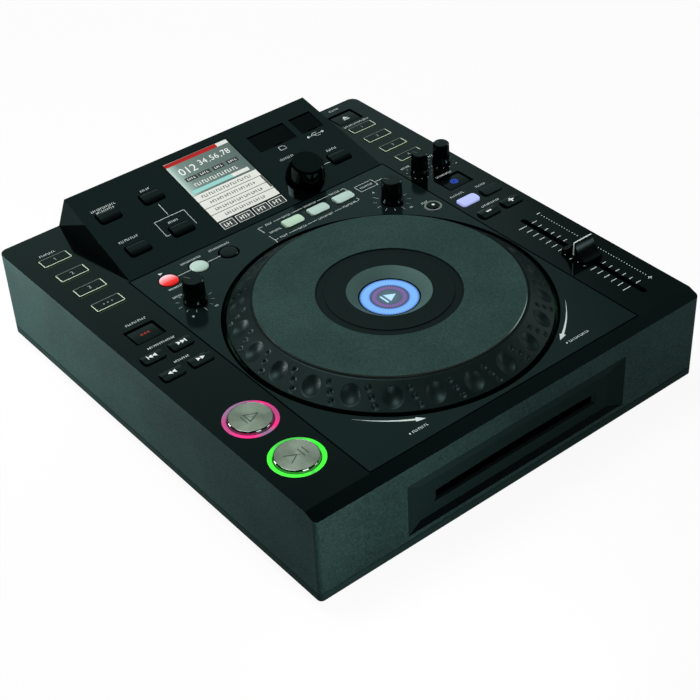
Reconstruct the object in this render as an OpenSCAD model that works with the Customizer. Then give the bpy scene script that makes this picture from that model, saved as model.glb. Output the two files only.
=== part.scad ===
// Tabletop DJ disc player: slot-in drive, touch jog wheel, sloped display pod.
// Millimetres. The origin is on the table under the middle of the case; +X is the user's
// right, -Y the front with the disc slot, +Z up.

/* [Body] */
// Width of the case, left to right
body_w = 305; // [295:1:330]
// Depth of the case, front to rear
body_d = 341; // [335:1:370]
// Height of the case from the tray's underside to the deck
body_h = 63.5; // [62:0.5:75]
// Thickness of the case's walls and deck
wall = 2.5; // [2.2:0.1:3]
// Corner radius at the front
front_r = 3; // [1.5:0.5:5]
// Corner radius at the rear
rear_r = 6; // [3:0.5:10]
// Depth of the bevel along the front edge
bevel_d = 8.7; // [6:0.1:11]
// Drop of the bevel along the front edge
bevel_h = 3.2; // [2:0.1:4.5]

/* [Display pod] */
// Distance of the pod's foot from the centre panel's sides
pod_inset = 1; // [0.5:0.1:2]
// Narrowing of the pod from its foot to its top edge
pod_taper = 8.6; // [5:0.2:12]
// Depth of the pod, from its front crease to the rear of the case
pod_d = 89; // [86:0.5:95]
// Rise of the pod's top edge over the deck
pod_rise = 21.7; // [18:0.1:26]
// Forward lean of the pod's rear wall
pod_lean = 5.7; // [2:0.1:8]

/* [Tray and feet] */
// Height of the rubber feet
foot_h = 7; // [5:0.5:10]
// Radius of the rubber feet
foot_r = 11; // [9:0.5:13]
// Distance of the feet from the sides of the case
foot_inset = 28; // [24:1:40]
// Height of the tray's rim
tray_h = 5; // [4:0.5:7]
// Thickness of the tray's sheet
tray_t = 1.5; // [1.2:0.1:2]
// Height of the shadow line between case and tray
seam = 0.7; // [0.4:0.1:1]
// Depth of the recess that holds the rear sockets
recess_d = 6; // [5:0.5:8]
// Width of the recess that holds the rear sockets
recess_w = 250; // [240:2:260]
// Height of the recess that holds the rear sockets, above the tray's rim
recess_h = 42; // [38:1:46]

/* [Deck panel] */
// Width of the key columns on either side of the centre panel
column_w = 46; // [45:0.5:48]
// Gap round the centre panel
panel_gap = 0.5; // [0.3:0.1:0.8]
// Width of the ledge that carries the centre panel
ledge_w = 4; // [3:0.5:6]
// Thickness of that ledge
ledge_t = 2; // [1.5:0.1:3]

/* [Jog wheel] */
// Margin between the wheel and the centre panel's sides
jog_margin = 4.7; // [4.3:0.1:7]
// Strip of the centre panel in front of the wheel
front_strip = 7; // [5:0.1:10]
// Strip of the centre panel behind the wheel, with the effect and loop keys
row_strip = 32.1; // [31:0.1:36]
// Gap between the wheel and the deck panel
jog_gap = 1.9; // [1:0.1:2.5]
// Height of the wheel's top over the deck
jog_rise = 13.3; // [11:0.1:15]
// Width of the wheel's slope
slope_w = 15.3; // [12:0.1:18]
// Width of the ledge between the slope and the touch disc
lip_w = 1.5; // [1:0.1:4]
// Thickness of the touch disc
disc_t = 1.2; // [1:0.1:2]
// Height of the wheel's upright edge over the deck
jog_edge = 2.5; // [1:0.1:4]
// Number of finger dimples
dimples = 24; // [18:2:24]
// Radius of a finger dimple at the surface
dimple_r = 5.4; // [4:0.1:5.8]
// Depth of a finger dimple
dimple_depth = 2.2; // [1.5:0.1:2.5]
// Outer radius of the groove in the touch disc
groove_r = 45.5; // [42:0.5:50]
// Width of the groove in the touch disc
groove_w = 4.9; // [3:0.1:6]
// Radius of the display's window at the touch disc
window_r = 26.8; // [25:0.1:29]
// Radius of the round display
dial_r = 19; // [17:0.5:21]
// Depth of the round display below the touch disc
dial_depth = 5.3; // [4.5:0.1:5.8]
// Radius of the hub that the wheel turns on
hub_r = 30; // [28:0.5:33]
// Radial running clearance of the wheel on its hub
hub_fit = 0.06; // [0.03:0.01:0.09]

/* [Keys] */
// Distance of the key columns from the sides of the case
column_inset = 23.9; // [22:0.1:26]
// Travel of every key
travel = 1.2; // [0.8:0.1:1.4]
// Gap round a key in its hole
key_gap = 0.4; // [0.35:0.05:0.6]
// Width of the outlined keys
outlined_w = 20.6; // [18:0.2:22]
// Depth of the outlined hot cue keys
hot_cue_d = 9.5; // [8:0.1:11]
// Depth of the outlined source keys
source_d = 8.4; // [7:0.1:10]
// Width of the small domed keys
domed_w = 15; // [13:0.2:16]
// Depth of the small domed keys
domed_d = 9.2; // [8:0.1:10]
// Width of the wells of the recessed keys
well_w = 22; // [20:0.2:23]
// Depth of the wells of the recessed keys
well_d = 16.6; // [15:0.2:18]
// Radius of the round loop keys
loop_r = 6.2; // [5.5:0.1:7]
// Radius of the cue and play buttons
button_r = 13.6; // [12:0.1:14]
// Outer radius of the light ring round the cue and play buttons
light_ring_r = 16.9; // [16:0.1:18]

/* [Knobs and slider] */
// Radius of the small knobs at their top
small_knob_r = 5.7; // [5:0.1:6]
// Height of the small knobs
small_knob_h = 15.5; // [12:0.5:18]
// Radius of the large knobs at their top
large_knob_r = 7; // [6:0.1:8]
// Height of the large knobs
large_knob_h = 17; // [14:0.5:20]
// Radius of the knob shafts
shaft_r = 3; // [2.5:0.1:3.2]
// Radial running clearance of a shaft in its bushing
shaft_fit = 0.05; // [0.02:0.01:0.09]
// Radius of the select knob at its widest
select_r = 13.9; // [12:0.1:15]
// Height of the select knob
select_h = 14; // [12:0.5:17]
// Travel of the pitch slider to either side
slider_travel = 50; // [40:1:51]
// Width of the slider cap
cap_w = 15.6; // [13:0.2:17]
// Length of the slider cap
cap_l = 22; // [18:0.5:25]
// Height of the slider cap over the deck
cap_h = 12.5; // [10:0.5:15]

/* [Disc slot and drive] */
// Width of the disc slot
slot_w = 127; // [124:0.5:130]
// Height of the disc slot at its ends
slot_h = 5.2; // [4.9:0.1:6]
// Extra height of the disc slot in the middle
slot_arch = 1; // [0.5:0.1:2]
// Height of the disc slot's middle over the tray's underside
slot_z = 24.8; // [24:0.2:27]
// Width of the slot bezel
bezel_w = 175; // [170:0.5:180]
// Height of the slot bezel
bezel_h = 37.4; // [34:0.2:39]
// Height of the bezel's middle over the tray's underside
bezel_mid = 28; // [27:0.2:29]
// Depth of the bezel's recess
bezel_recess = 2.8; // [2:0.1:3.4]
// Depth of the disc drive's housing
drive_d = 182; // [176:1:190]
// Width of the disc drive's housing
drive_w = 150; // [144:1:160]

/* [Hidden] */
$fn = 64;
fit = 0.25;         // clearance between pieces that are fixed to each other
air = 0.4;          // clearance between pieces that move past each other
eps = 0.02;         // overlap of cutting tools past a face

function tenth(v) = round(10 * v) / 10;  // on a grid of 0.1 mm

// Levels
tray_z = foot_h;                         // underside of the tray
rim_z = tray_z + tray_h;                 // top of the tray's rim
deck_z = tray_z + body_h;                // deck
under_z = deck_z - wall;                 // underside of the deck
board_t = 1.6;
well_depth = 1.6;                        // floor of the wells below the deck
board_z = deck_z - 18;                   // underside of the control board
board_top = board_z + board_t;
switch_h = 4.5;
switch_top = board_top + switch_h;
key_foot_z = switch_top + air + travel;  // lower end of a key's stem, at rest

// Plan
front_y = -body_d / 2;
rear_y = body_d / 2;
side_x = body_w / 2;
column_x = side_x - column_inset;
panel_w = body_w - 2 * column_w;         // centre panel round the jog wheel
panel_front_y = front_y + bevel_d + 0.6;
pod_w = panel_w - 2 * pod_inset;
pod_top_w = pod_w - pod_taper;
pod_y = rear_y - pod_d;                  // crease between deck panel and pod
panel_d = pod_y - panel_front_y;
jog_r = min(panel_w / 2 - jog_margin, (panel_d - front_strip - row_strip) / 2);
jog_y = panel_front_y + front_strip + jog_r;
slope_r = jog_r - slope_w;               // where the wheel's slope meets its flat top
disc_r = slope_r - lip_w;
pod_top_y = rear_y - pod_lean;
pod_top_z = deck_z + pod_rise;
pod_angle = atan2(pod_rise, pod_top_y - pod_y);
pod_t = wall + 0.5;

// Rows of the key columns, as shares of the case's depth
cue_y = tenth(-0.237 * body_d);
play_y = tenth(-0.3651 * body_d);
hot_cue_y = tenth(0.4012 * body_d);
hot_cue_pitch = tenth(0.0636 * body_d);
direction_y = tenth(0.0865 * body_d);
skip_y = tenth(0.0147 * body_d);
search_y = tenth(-0.0475 * body_d);
pair_x = 10.2;                           // half the distance between two keys of a pair
source_y = tenth(0.3845 * body_d);
source_pitch = tenth(0.0513 * body_d);
eject_y = tenth(0.442 * body_d);
jog_mode_y = tenth(0.0894 * body_d);
range_y = skip_y;
bend_y = tenth(-0.0455 * body_d);
trim_y = tenth(0.1625 * body_d);         // start and stop knobs
trim_x = 10.1;
slider_x = column_x - 0.1;
slider_y = tenth(-0.2704 * body_d);

// Places on the centre panel, from its sides and from the pod
effect_row = pod_y - 15.7;
effect_pitch = 21.75;
effect_x = panel_w / 2 - 70.3;
loop_pitch = 23.7;
loop_x = 44.1 - panel_w / 2;
adjust_knob_x = 20.3 - panel_w / 2;
knob_row = pod_y - 45.6;
effect_knob_x = panel_w / 2 - 26.3;
effect_knob_y = pod_y - 41.4;
tap_x = panel_w / 2 - 10.2;
tap_y = pod_y - 65.6;
slider_slot_w = 4.2;
slider_slot_l = 2 * slider_travel + 11;

// Places on the pod: across as shares of its width, and the distance up the slope
screen_w = tenth(0.2597 * pod_w);
screen_d = 73.4;
screen_s = 42.9;
pod_key_x = tenth(0.3194 * pod_w);
pod_key_dx = tenth(0.0815 * pod_w);
pod_key_low = 22;
pod_key_high = 57.3;
pod_key_gap = 2 * key_gap;
card_x = tenth(0.264 * pod_w);
card_w = tenth(0.1517 * pod_w);
usb_x = tenth(0.409 * pod_w);
usb_w = tenth(0.09 * pod_w);
cover_s = 54.2;                          // front edge of the covers
cover_d = 17.6;
select_x = tenth(0.2446 * pod_w);
select_s = 18.5;
back_x = tenth(0.4005 * pod_w);

domed_corner = 2;
well_key_w = well_w - 3.6;
well_key_d = well_d - 3.6;
jog_hole_r = jog_r + jog_gap;
ring_top_z = deck_z + jog_rise - disc_t;
dial_z = deck_z + jog_rise - dial_depth;
hub_flange_z = deck_z - 10;              // running face of the hub's flange
drive_z = tray_z + tray_t + 8;           // underside of the drive housing
drive_h = 30;
drive_y = front_y + wall + 3;
disc_y = drive_y + 79;                   // centre of a loaded disc
slot_mid_z = tray_z + slot_z;
roller_r = 4;
roller_y = drive_y + 14;
path_z = slot_mid_z - slot_h / 2 - 0.3;  // highest level of what lies under the disc's path
bezel_z = tray_z + bezel_mid;
tray_top = tray_z + tray_t;
sheet_y = rear_y - recess_d;             // outer face of the tray's rear sheet
tap_r = 4.4;
tap_ring_r = 6;
small_hole_r = shaft_r + air;
bore_r = shaft_r + shaft_fit;
pod_board_n = -14;                       // underside of the pod's board, along its normal
pod_board_top = pod_board_n + board_t;
pod_foot = pod_board_top + switch_h + air + travel;
key_foot = key_foot_z - deck_z;

black = [0.09, 0.11, 0.11];
deck_color = [0.12, 0.15, 0.15];
metal = [0.72, 0.72, 0.70];
pale = [0.82, 0.88, 0.84];

// ---- helpers -----------------------------------------------------------------------------

module rounded(w, d, r) {
    square([w - 2 * r, d], center = true);
    square([w, d - 2 * r], center = true);
    for (x = [-1, 1], y = [-1, 1]) translate([x * (w / 2 - r), y * (d / 2 - r)]) circle(r);
}

module slab(w, d, r, z0, z1) {
    translate([0, 0, z0]) linear_extrude(z1 - z0) rounded(w, d, r);
}

module box(w, d, z0, z1) {
    translate([-w / 2, -d / 2, z0]) cube([w, d, z1 - z0]);
}

module rod(r, z0, z1) {
    translate([0, 0, z0]) cylinder(r = r, h = z1 - z0);
}

// A frame on the pod's slope: x across, s up the slope from the crease, +Z out of the surface.
module on_pod(x, s) {
    translate([x, pod_y, deck_z]) rotate([pod_angle, 0, 0]) translate([0, s, 0]) children();
}

module on_deck(x, y) {
    translate([x, y, deck_z]) children();
}

// Outline of the case seen from above, shrunk by inset all round.
module plan(inset = 0) {
    f = max(front_r - inset, 0.5);
    b = max(rear_r - inset, 0.5);
    w = body_w - 2 * inset;
    d = body_d - 2 * inset;
    translate([-w / 2, -d / 2 + f]) square([w, d - f - b]);
    translate([-w / 2 + f, -d / 2]) square([w - 2 * f, f + eps]);
    translate([-w / 2 + b, d / 2 - b - eps]) square([w - 2 * b, b + eps]);
    for (x = [-1, 1]) {
        translate([x * (w / 2 - f), -d / 2 + f]) circle(f);
        translate([x * (w / 2 - b), d / 2 - b]) circle(b);
    }
}

// A prism along X from a profile of [y, z] points.
module along_x(points, w) {
    rotate([90, 0, 90]) linear_extrude(w, center = true) polygon(points);
}

// A prism along Y from a profile of [x, z] points.
module along_y(points, y0, y1) {
    translate([0, y1, 0]) rotate([90, 0, 0]) linear_extrude(y1 - y0) polygon(points);
}

// A funnel along Y: 2 * x0 wide between the heights low0 and high0 at y0, and so on at y1.
module funnel_y(x0, low0, high0, x1, low1, high1, y0, y1) {
    intersection() {
        along_x([[y0, low0], [y1, low1], [y1, high1], [y0, high0]], 2 * max(x0, x1) + 2);
        translate([0, 0, min(low0, low1) - 1]) linear_extrude(max(high0, high1) - min(low0, low1) + 2)
            polygon([[-x0, y0], [x0, y0], [x1, y1], [-x1, y1]]);
    }
}

// ---- case --------------------------------------------------------------------------------

// Side view of the case, moved inwards by t.
module case_profile(t, z0) {
    m = bevel_h / bevel_d;
    k = sqrt(1 + m * m);
    along_x([
        [front_y + t, z0], [rear_y - t, z0], [rear_y - t, deck_z - t],
        [front_y + bevel_d + t * (k - 1) / m, deck_z - t],
        [front_y + t, deck_z - bevel_h + t * (m - k)]
    ], body_w + 2);
}

// The pod over the deck, moved inwards by t.
module pod_wedge(t) {
    low = deck_z - (t > 0 ? wall + 4 : 1);
    slope = tan(pod_angle);
    lean = pod_lean / pod_rise;
    skin = t / cos(pod_angle);
    back = t * sqrt(1 + lean * lean);
    y_top = (rear_y + lean * slope * pod_y + lean * skin - back) / (1 + lean * slope);
    intersection() {
        along_x([
            [pod_y + (low - deck_z + skin) / slope, low], [rear_y - max(t, eps), low],
            [rear_y - max(back, eps), deck_z],
            [y_top, deck_z + (y_top - pod_y) * slope - skin]
        ], body_w);
        along_y([
            [-pod_w / 2 + t, low - 1], [pod_w / 2 - t, low - 1], [pod_w / 2 - t, deck_z],
            [pod_top_w / 2 - t, pod_top_z], [-pod_top_w / 2 + t, pod_top_z], [-pod_w / 2 + t, deck_z]
        ], pod_y - 40, rear_y + 1);
    }
}

module case_outside() {
    intersection() {
        case_profile(0, rim_z);
        translate([0, 0, rim_z]) linear_extrude(body_h) plan();
    }
    pod_wedge(0);
}

module case_inside() {
    intersection() {
        case_profile(wall, rim_z - 1);
        translate([0, 0, rim_z - 1]) linear_extrude(body_h) plan(wall);
    }
    pod_wedge(pod_t);
}

// The centre panel's rectangle, grown all round, between two heights.
module panel_block(grow, z0, z1) {
    w = panel_w + 2 * grow;
    d = pod_y - panel_front_y + 2 * grow;
    translate([-w / 2, panel_front_y - grow, z0]) cube([w, d, z1 - z0]);
}

module key_holes_left() {
    for (i = [0 : 3]) on_deck(-column_x, hot_cue_y - i * hot_cue_pitch)
        slab(outlined_w + 2 * key_gap, hot_cue_d + 2 * key_gap, 1.2, -wall - 1, 1);
    on_deck(-column_x, direction_y) well();
    for (x = [-1, 1], y = [skip_y, search_y]) on_deck(-column_x + x * pair_x, y) domed_hole();
    for (y = [cue_y, play_y]) on_deck(-column_x, y) {
        rod(button_r + key_gap, -wall - 1, 1);
        rod(light_ring_r, -1, 1);
    }
}

module key_holes_right() {
    on_deck(column_x, eject_y) well();
    for (i = [0 : 3]) on_deck(column_x, source_y - i * source_pitch)
        slab(outlined_w + 2 * key_gap, source_d + 2 * key_gap, 1.2, -wall - 1, 1);
    for (x = [-1, 1]) on_deck(column_x + x * trim_x, trim_y) rod(small_hole_r, -wall - 1, 1);
    on_deck(column_x, jog_mode_y) well();
    for (x = [-1, 1], y = [range_y, bend_y]) on_deck(column_x + x * pair_x, y) domed_hole();
    on_deck(slider_x, slider_y) slab(slider_slot_w, slider_slot_l, slider_slot_w / 2 - 0.2, -wall - 1, 1);
}

module pod_holes() {
    on_pod(0, screen_s) slab(screen_w + 2 * fit, screen_d + 2 * fit, 0.8, -pod_t - 1, 1);
    for (x = [-1, 1], s = [pod_key_low, pod_key_high]) on_pod(-pod_key_x + x * pod_key_dx, s)
        domed_hole(pod_t, pod_key_gap);
    on_pod(back_x, pod_key_low) domed_hole(pod_t, pod_key_gap);
    on_pod(select_x, select_s) rod(small_hole_r, -pod_t - 1, 1);
    cover_pocket(card_x, card_w);
    cover_pocket(usb_x, usb_w);
}

// A well for a recessed key, with the key's hole in its floor.
module well() {
    slab(well_w, well_d, 1, -well_depth, 1);
    slab(well_key_w + 2 * air, well_key_d + 2 * air, 0.8, -wall - 1, 1);
}

module domed_hole(t = wall, gap = key_gap) {
    slab(domed_w + 2 * gap, domed_d + 2 * gap, domed_corner + gap, -t - 1, 1);
}

// Pocket under a socket cover, with the bores for the cover's hinge pins.
pocket_depth = 9.5;
hinge_s = cover_s + cover_d - 1.9;
hinge_n = -1.5;
pin_r = 0.8;
pin_l = 1.4;

module cover_pocket(x, w) {
    on_pod(x, cover_s + cover_d / 2) box(w, cover_d, -pocket_depth, 1);
    on_pod(x, hinge_s) translate([-w / 2 - pin_l - 0.3, 0, hinge_n]) rotate([0, 90, 0])
        cylinder(r = pin_r + 0.05, h = w + 2 * pin_l + 0.6);
}

// Walls and floor of that pocket, under the pod's skin.
module pocket_cup(x, w) {
    on_pod(x, cover_s + cover_d / 2) box(w + 3, cover_d + 3, -pocket_depth - 1.5, -pod_t + 0.5);
}

module socket_holes() {
    on_pod(card_x, cover_s + cover_d / 2) box(25, 3.2, -pocket_depth - 2, 0);
    on_pod(usb_x, cover_s + cover_d / 2) box(13.6, 6.2, -pocket_depth - 2, 0);
}

// Bosses: the control board screws on from below, and the tray's screws go in at the corners.
boss_r = 3.5;
boss_x = side_x - 8;
boss_ys = [front_y + 22, front_y + 110, rear_y - 80];
tray_boss_x = side_x - 9;
tray_boss_ys = [front_y + 9, rear_y - 20];
screw_r = 1.35;
pilot_r = 1.4;
screw_hole_r = 1.6;
screw_head_r = 2.8;
screw_head_h = 1.4;
board_screw_l = 7;
tray_screw_l = 9;

module bosses() {
    for (x = [-1, 1], y = boss_ys) translate([x * boss_x, y, 0]) rod(boss_r, board_top, under_z + 0.5);
    for (x = [-1, 1], y = tray_boss_ys) translate([x * tray_boss_x, y, 0])
        rod(boss_r + 0.5, tray_top, under_z + 0.5);
    for (x = [-1, 1]) on_pod(x * pod_post_x, pod_post_s) rod(boss_r - 0.5, pod_board_top, -pod_t + 0.5);
}

module screw_pilot_holes() {
    for (x = [-1, 1], y = boss_ys) translate([x * boss_x, y, 0]) rod(pilot_r, board_z, board_z + board_screw_l + 1.6);
    for (x = [-1, 1], y = tray_boss_ys) translate([x * tray_boss_x, y, 0])
        rod(pilot_r, tray_z, tray_z + tray_screw_l + 1.5);
}

// A screw: head below z, thread above it.
module screw(z, l) {
    rod(screw_head_r, z - screw_head_h, z);
    rod(screw_r, z - 0.1, z + l);
}

module top_case() {
    color(deck_color) difference() {
        union() {
            difference() {
                case_outside();
                case_inside();
            }
            // ledge under the centre panel
            difference() {
                panel_block(2, under_z - ledge_t, under_z + eps);
                panel_block(-ledge_w, under_z - ledge_t - 1, under_z + 1);
            }
            // frame of the rear recess
            translate([-recess_w / 2 - wall, rear_y - recess_d - 2, rim_z])
                cube([recess_w + 2 * wall, recess_d + 1, recess_h + wall]);
            bosses();
            pocket_cup(card_x, card_w);
            pocket_cup(usb_x, usb_w);
        }
        panel_block(panel_gap, under_z, deck_z + 1);
        translate([0, jog_y, 0]) rod(jog_hole_r, under_z - ledge_t - 1, deck_z + 1);
        translate([-recess_w / 2, rear_y - recess_d - 3, rim_z - 1])
            cube([recess_w, recess_d + 4, recess_h + 1]);
        // shadow line above the tray
        difference() {
            translate([0, 0, rim_z - 1]) linear_extrude(1 + seam) plan(-1);
            translate([0, 0, rim_z - 2]) linear_extrude(3 + seam) plan(0.8);
        }
        translate([-bezel_w / 2 - fit, front_y - 1, bezel_z - bezel_h / 2 - fit])
            cube([bezel_w + 2 * fit, wall + 2, bezel_h + 2 * fit]);
        key_holes_left();
        key_holes_right();
        pod_holes();
        socket_holes();
        screw_pilot_holes();
    }
}

module deck_panel() {
    grip = panel_w - 2 * panel_gap;
    color(deck_color) difference() {
        union() {
            translate([-grip / 2, panel_front_y + panel_gap, under_z])
                cube([grip, pod_y - panel_front_y - 2 * panel_gap, wall]);
            on_deck(tap_x, tap_y) rod(tap_ring_r, -1, 0.6);
        }
        translate([0, jog_y, 0]) rod(jog_hole_r, under_z - 1, deck_z + 1);
        for (i = [-1 : 1]) {
            on_deck(effect_x + i * effect_pitch, effect_row) domed_hole();
            on_deck(loop_x + i * loop_pitch, effect_row) rod(loop_r + key_gap, -wall - 1, 1);
        }
        on_deck(adjust_knob_x, knob_row) rod(small_hole_r, -wall - 1, 1);
        on_deck(effect_knob_x, effect_knob_y) rod(small_hole_r, -wall - 1, 1);
        on_deck(tap_x, tap_y) rod(tap_r + key_gap, -wall - 1, 1);
    }
}

// ---- tray, bezel and sockets ---------------------------------------------------------------

inlet_x = -95;
switch_x = -60;
sockets_z = 31;
phono_xs = [58, 78, 102];
jack_x = 30;

module base_tray() {
    color(metal) difference() {
        union() {
            difference() {
                translate([0, 0, tray_z]) linear_extrude(tray_h) plan();
                translate([0, 0, tray_top]) linear_extrude(tray_h) plan(2);
            }
            translate([-recess_w / 2 + 0.5, sheet_y - tray_t, tray_top - 0.1])
                cube([recess_w - 1, tray_t, recess_h + tray_h - tray_t - 0.4]);
        }
        translate([inlet_x - 14, sheet_y - 3, sockets_z - 10]) cube([28, 6, 20]);
        translate([switch_x - 12, sheet_y - 3, sockets_z - 8]) cube([24, 6, 16]);
        for (x = concat(phono_xs, [jack_x])) translate([x, sheet_y + 3, sockets_z]) rotate([90, 0, 0])
            cylinder(r = 4.6, h = 6);
        for (i = [0 : 11]) translate([-34 + i * 4.6, sheet_y - 3, sockets_z - 10]) cube([2, 6, 20]);
        for (x = [-1, 1], i = [0 : 9]) translate([x * 105 - 1, 20 + i * 7, tray_z - 1])
            cube([2, 4, 4]);
        for (x = [-1, 1], y = tray_boss_ys) translate([x * tray_boss_x, y, 0])
            rod(screw_hole_r, tray_z - 1, tray_top + 1);
    }
}

// The slot that the disc goes through, with its bowed upper edge.
module disc_path(y0, y1) {
    bow_r = (slot_w * slot_w / 4 + slot_arch * slot_arch) / (2 * slot_arch);
    intersection() {
        translate([-slot_w / 2, y0, slot_mid_z - slot_h / 2]) cube([slot_w, y1 - y0, slot_h + slot_arch]);
        translate([0, y0 - 1, slot_mid_z + slot_h / 2 + slot_arch - bow_r]) rotate([-90, 0, 0])
            cylinder(r = bow_r, h = y1 - y0 + 2, $fn = 900);
    }
}

module slot_bezel() {
    low = bezel_z - bezel_h / 2;
    high = bezel_z + bezel_h / 2;
    lip = 2.6;
    rear = front_y + wall;
    color(black) difference() {
        union() {
            translate([-bezel_w / 2, front_y, low]) cube([bezel_w, wall + 2, bezel_h]);
            translate([-bezel_w / 2 - 2.5, rear, low - 1]) cube([bezel_w + 5, 1.8, bezel_h + 3.5]);
        }
        funnel_y(bezel_w / 2 + 3.6, low - 1, high + 2.6, bezel_w / 2 - 11.3, low + 3.2, high - 8.2,
            front_y - 0.88, front_y + bezel_recess);
        funnel_y(slot_w / 2 + 2 * lip, slot_mid_z - slot_h / 2 - 2 * lip * 0.6,
            slot_mid_z + slot_h / 2 + slot_arch + 2 * lip * 0.6,
            slot_w / 2, slot_mid_z - slot_h / 2, slot_mid_z + slot_h / 2 + slot_arch,
            front_y + bezel_recess - 1.2, front_y + bezel_recess + 1.2);
        disc_path(front_y, rear + 3);
    }
}

module at_rear(x, y) {
    translate([x, y, sockets_z]) rotate([-90, 0, 0]) children();
}

rocker_y = sheet_y - 3.5;
rocker_pin_r = 1.2;

module mains_inlet() {
    difference() {
        union() {
            at_rear(inlet_x, sheet_y - 16) box(27.4, 19.4, 0, 16.5);
            at_rear(inlet_x, sheet_y) box(33, 24, 0, 1.5);
        }
        at_rear(inlet_x, sheet_y - 12) box(19.5, 11, 0, 20);
    }
    for (x = [-1, 1]) at_rear(inlet_x + x * 4.5, sheet_y - 12.5) cylinder(r = 1.3, h = 11);
}

module switch_frame() {
    difference() {
        union() {
            at_rear(switch_x, sheet_y - 12) box(23.4, 15.4, 0, 12.5);
            at_rear(switch_x, sheet_y) box(26.5, 18.5, 0, 1.2);
        }
        at_rear(switch_x, sheet_y - 10.5) box(19.4, 12.4, 0, 20);
        translate([switch_x - 11, rocker_y, sockets_z]) rotate([0, 90, 0])
            cylinder(r = rocker_pin_r + 0.05, h = 22);
    }
}

module phono_socket(x) {
    difference() {
        union() {
            at_rear(x, sheet_y - tray_t - 10) box(13, 13, 0, 10);
            at_rear(x, sheet_y - tray_t - 1) cylinder(r = 4.3, h = recess_d + 2.1);
            at_rear(x, sheet_y) cylinder(r = 5.8, h = 1);
        }
        at_rear(x, sheet_y - 4) cylinder(r = 1.7, h = 20);
        at_rear(x, sheet_y + 1.5) difference() {
            cylinder(r = 3.7, h = 20);
            cylinder(r = 2.6, h = 20);
        }
    }
}

module jack_socket() {
    difference() {
        union() {
            at_rear(jack_x, sheet_y - tray_t - 12) box(9, 9, 0, 12);
            at_rear(jack_x, sheet_y - tray_t - 1) cylinder(r = 4.3, h = 4.5);
        }
        at_rear(jack_x, sheet_y - 11) cylinder(r = 1.8, h = 20);
    }
}

module rear_sockets() {
    color(black) {
        mains_inlet();
        switch_frame();
        for (x = phono_xs) phono_socket(x);
        jack_socket();
    }
}

// Rocker of the mains switch, resting with its lower end out.
module power_switch() {
    color(black) translate([switch_x, rocker_y, sockets_z]) rotate([8, 0, 0]) union() {
        rotate([90, 0, 90]) linear_extrude(18.2, center = true)
            polygon([[3.8, -5], [2.6, 0], [3.8, 5], [-2.4, 3.4], [-2.4, -3.4]]);
        rotate([0, 90, 0]) cylinder(r = rocker_pin_r, h = 21, center = true);
    }
}

module feet() {
    color(black) for (x = [-1, 1], y = [-1, 1]) translate([x * (side_x - foot_inset), y * (body_d / 2 - 25), 0])
        rotate_extrude() polygon([
            [0, 1.2], [3, 1.2], [3.6, 0], [foot_r - 1.6, 0], [foot_r - 0.6, 1], [foot_r, foot_h], [0, foot_h]
        ]);
}

module case_screws() {
    color(metal) {
        for (x = [-1, 1], y = boss_ys) translate([x * boss_x, y, 0]) screw(board_z, board_screw_l);
        for (x = [-1, 1], y = tray_boss_ys) translate([x * tray_boss_x, y, 0]) screw(tray_z, tray_screw_l);
    }
}

// ---- disc drive ----------------------------------------------------------------------------

turntable_r = 14;
spindle_r = 1.5;
roller_pin_r = 2;
roller_z = path_z - roller_r;

module drive_housing() {
    inner_w = drive_w - 3;
    color(metal) difference() {
        union() {
            difference() {
                translate([-drive_w / 2, drive_y, drive_z]) cube([drive_w, drive_d, drive_h]);
                translate([-inner_w / 2, drive_y + 1.5, drive_z + 1.5]) cube([inner_w, drive_d - 3, drive_h - 3]);
            }
            for (x = [-1, 1], y = [drive_y + 20, drive_y + drive_d - 20])
                translate([x * (drive_w / 2 - 10), y, 0]) rod(4, tray_top, drive_z + 0.5);
            translate([0, disc_y, 0]) rod(8, drive_z + 1, path_z - 4.6);
            for (x = [-1, 1]) translate([x * (drive_w / 2 - 1), roller_y, roller_z]) rotate([0, 90, 0])
                cylinder(r = 4, h = 3, center = true);
        }
        translate([-slot_w / 2 - 2, drive_y - 1, path_z - 1.2])
            cube([slot_w + 4, 4, slot_h + slot_arch + 3]);
        translate([0, disc_y, 0]) rod(spindle_r + 0.05, drive_z + 1.2, path_z);
        translate([-drive_w / 2 - 3, roller_y, roller_z]) rotate([0, 90, 0])
            cylinder(r = roller_pin_r + 0.05, h = drive_w + 6);
        for (i = [-3 : 3]) translate([i * 14 - 1.5, drive_y + drive_d - 4, drive_z + 8]) cube([3, 8, 12]);
    }
}

module load_roller() {
    color(black) translate([0, roller_y, roller_z]) rotate([0, 90, 0]) union() {
        cylinder(r = roller_r, h = 2 * (slot_w / 2 - 1), center = true);
        cylinder(r = roller_pin_r, h = drive_w - 0.4, center = true);
    }
}

module turntable() {
    color(black) translate([0, disc_y, 0]) difference() {
        union() {
            rod(turntable_r, path_z - 3, path_z);
            rod(spindle_r, drive_z + 1.9, path_z - 2.5);
        }
        rod(6, path_z - 1, path_z + 1);
    }
}

// ---- jog wheel -----------------------------------------------------------------------------

hub_top = 6;                             // top of the hub over the deck
seat = jog_rise - disc_t;                // top of the wheel ring over the deck
shell = 3.2;
retainer_r = hub_r + 1.6;
slope_angle = atan2(seat - jog_edge, jog_r - slope_r);
ball_r = (dimple_r * dimple_r + dimple_depth * dimple_depth) / (2 * dimple_depth);

// A frame on the wheel's slope: origin on the surface in the middle of the slope, +Z outwards.
module on_slope(angle, up = 0) {
    mid_r = (jog_r + slope_r) / 2;
    mid_z = (seat + jog_edge) / 2;
    rotate([0, 0, angle]) translate([mid_r, 0, mid_z]) rotate([0, 90 - slope_angle, 0])
        translate([-up, 0, 0]) children();
}

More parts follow.
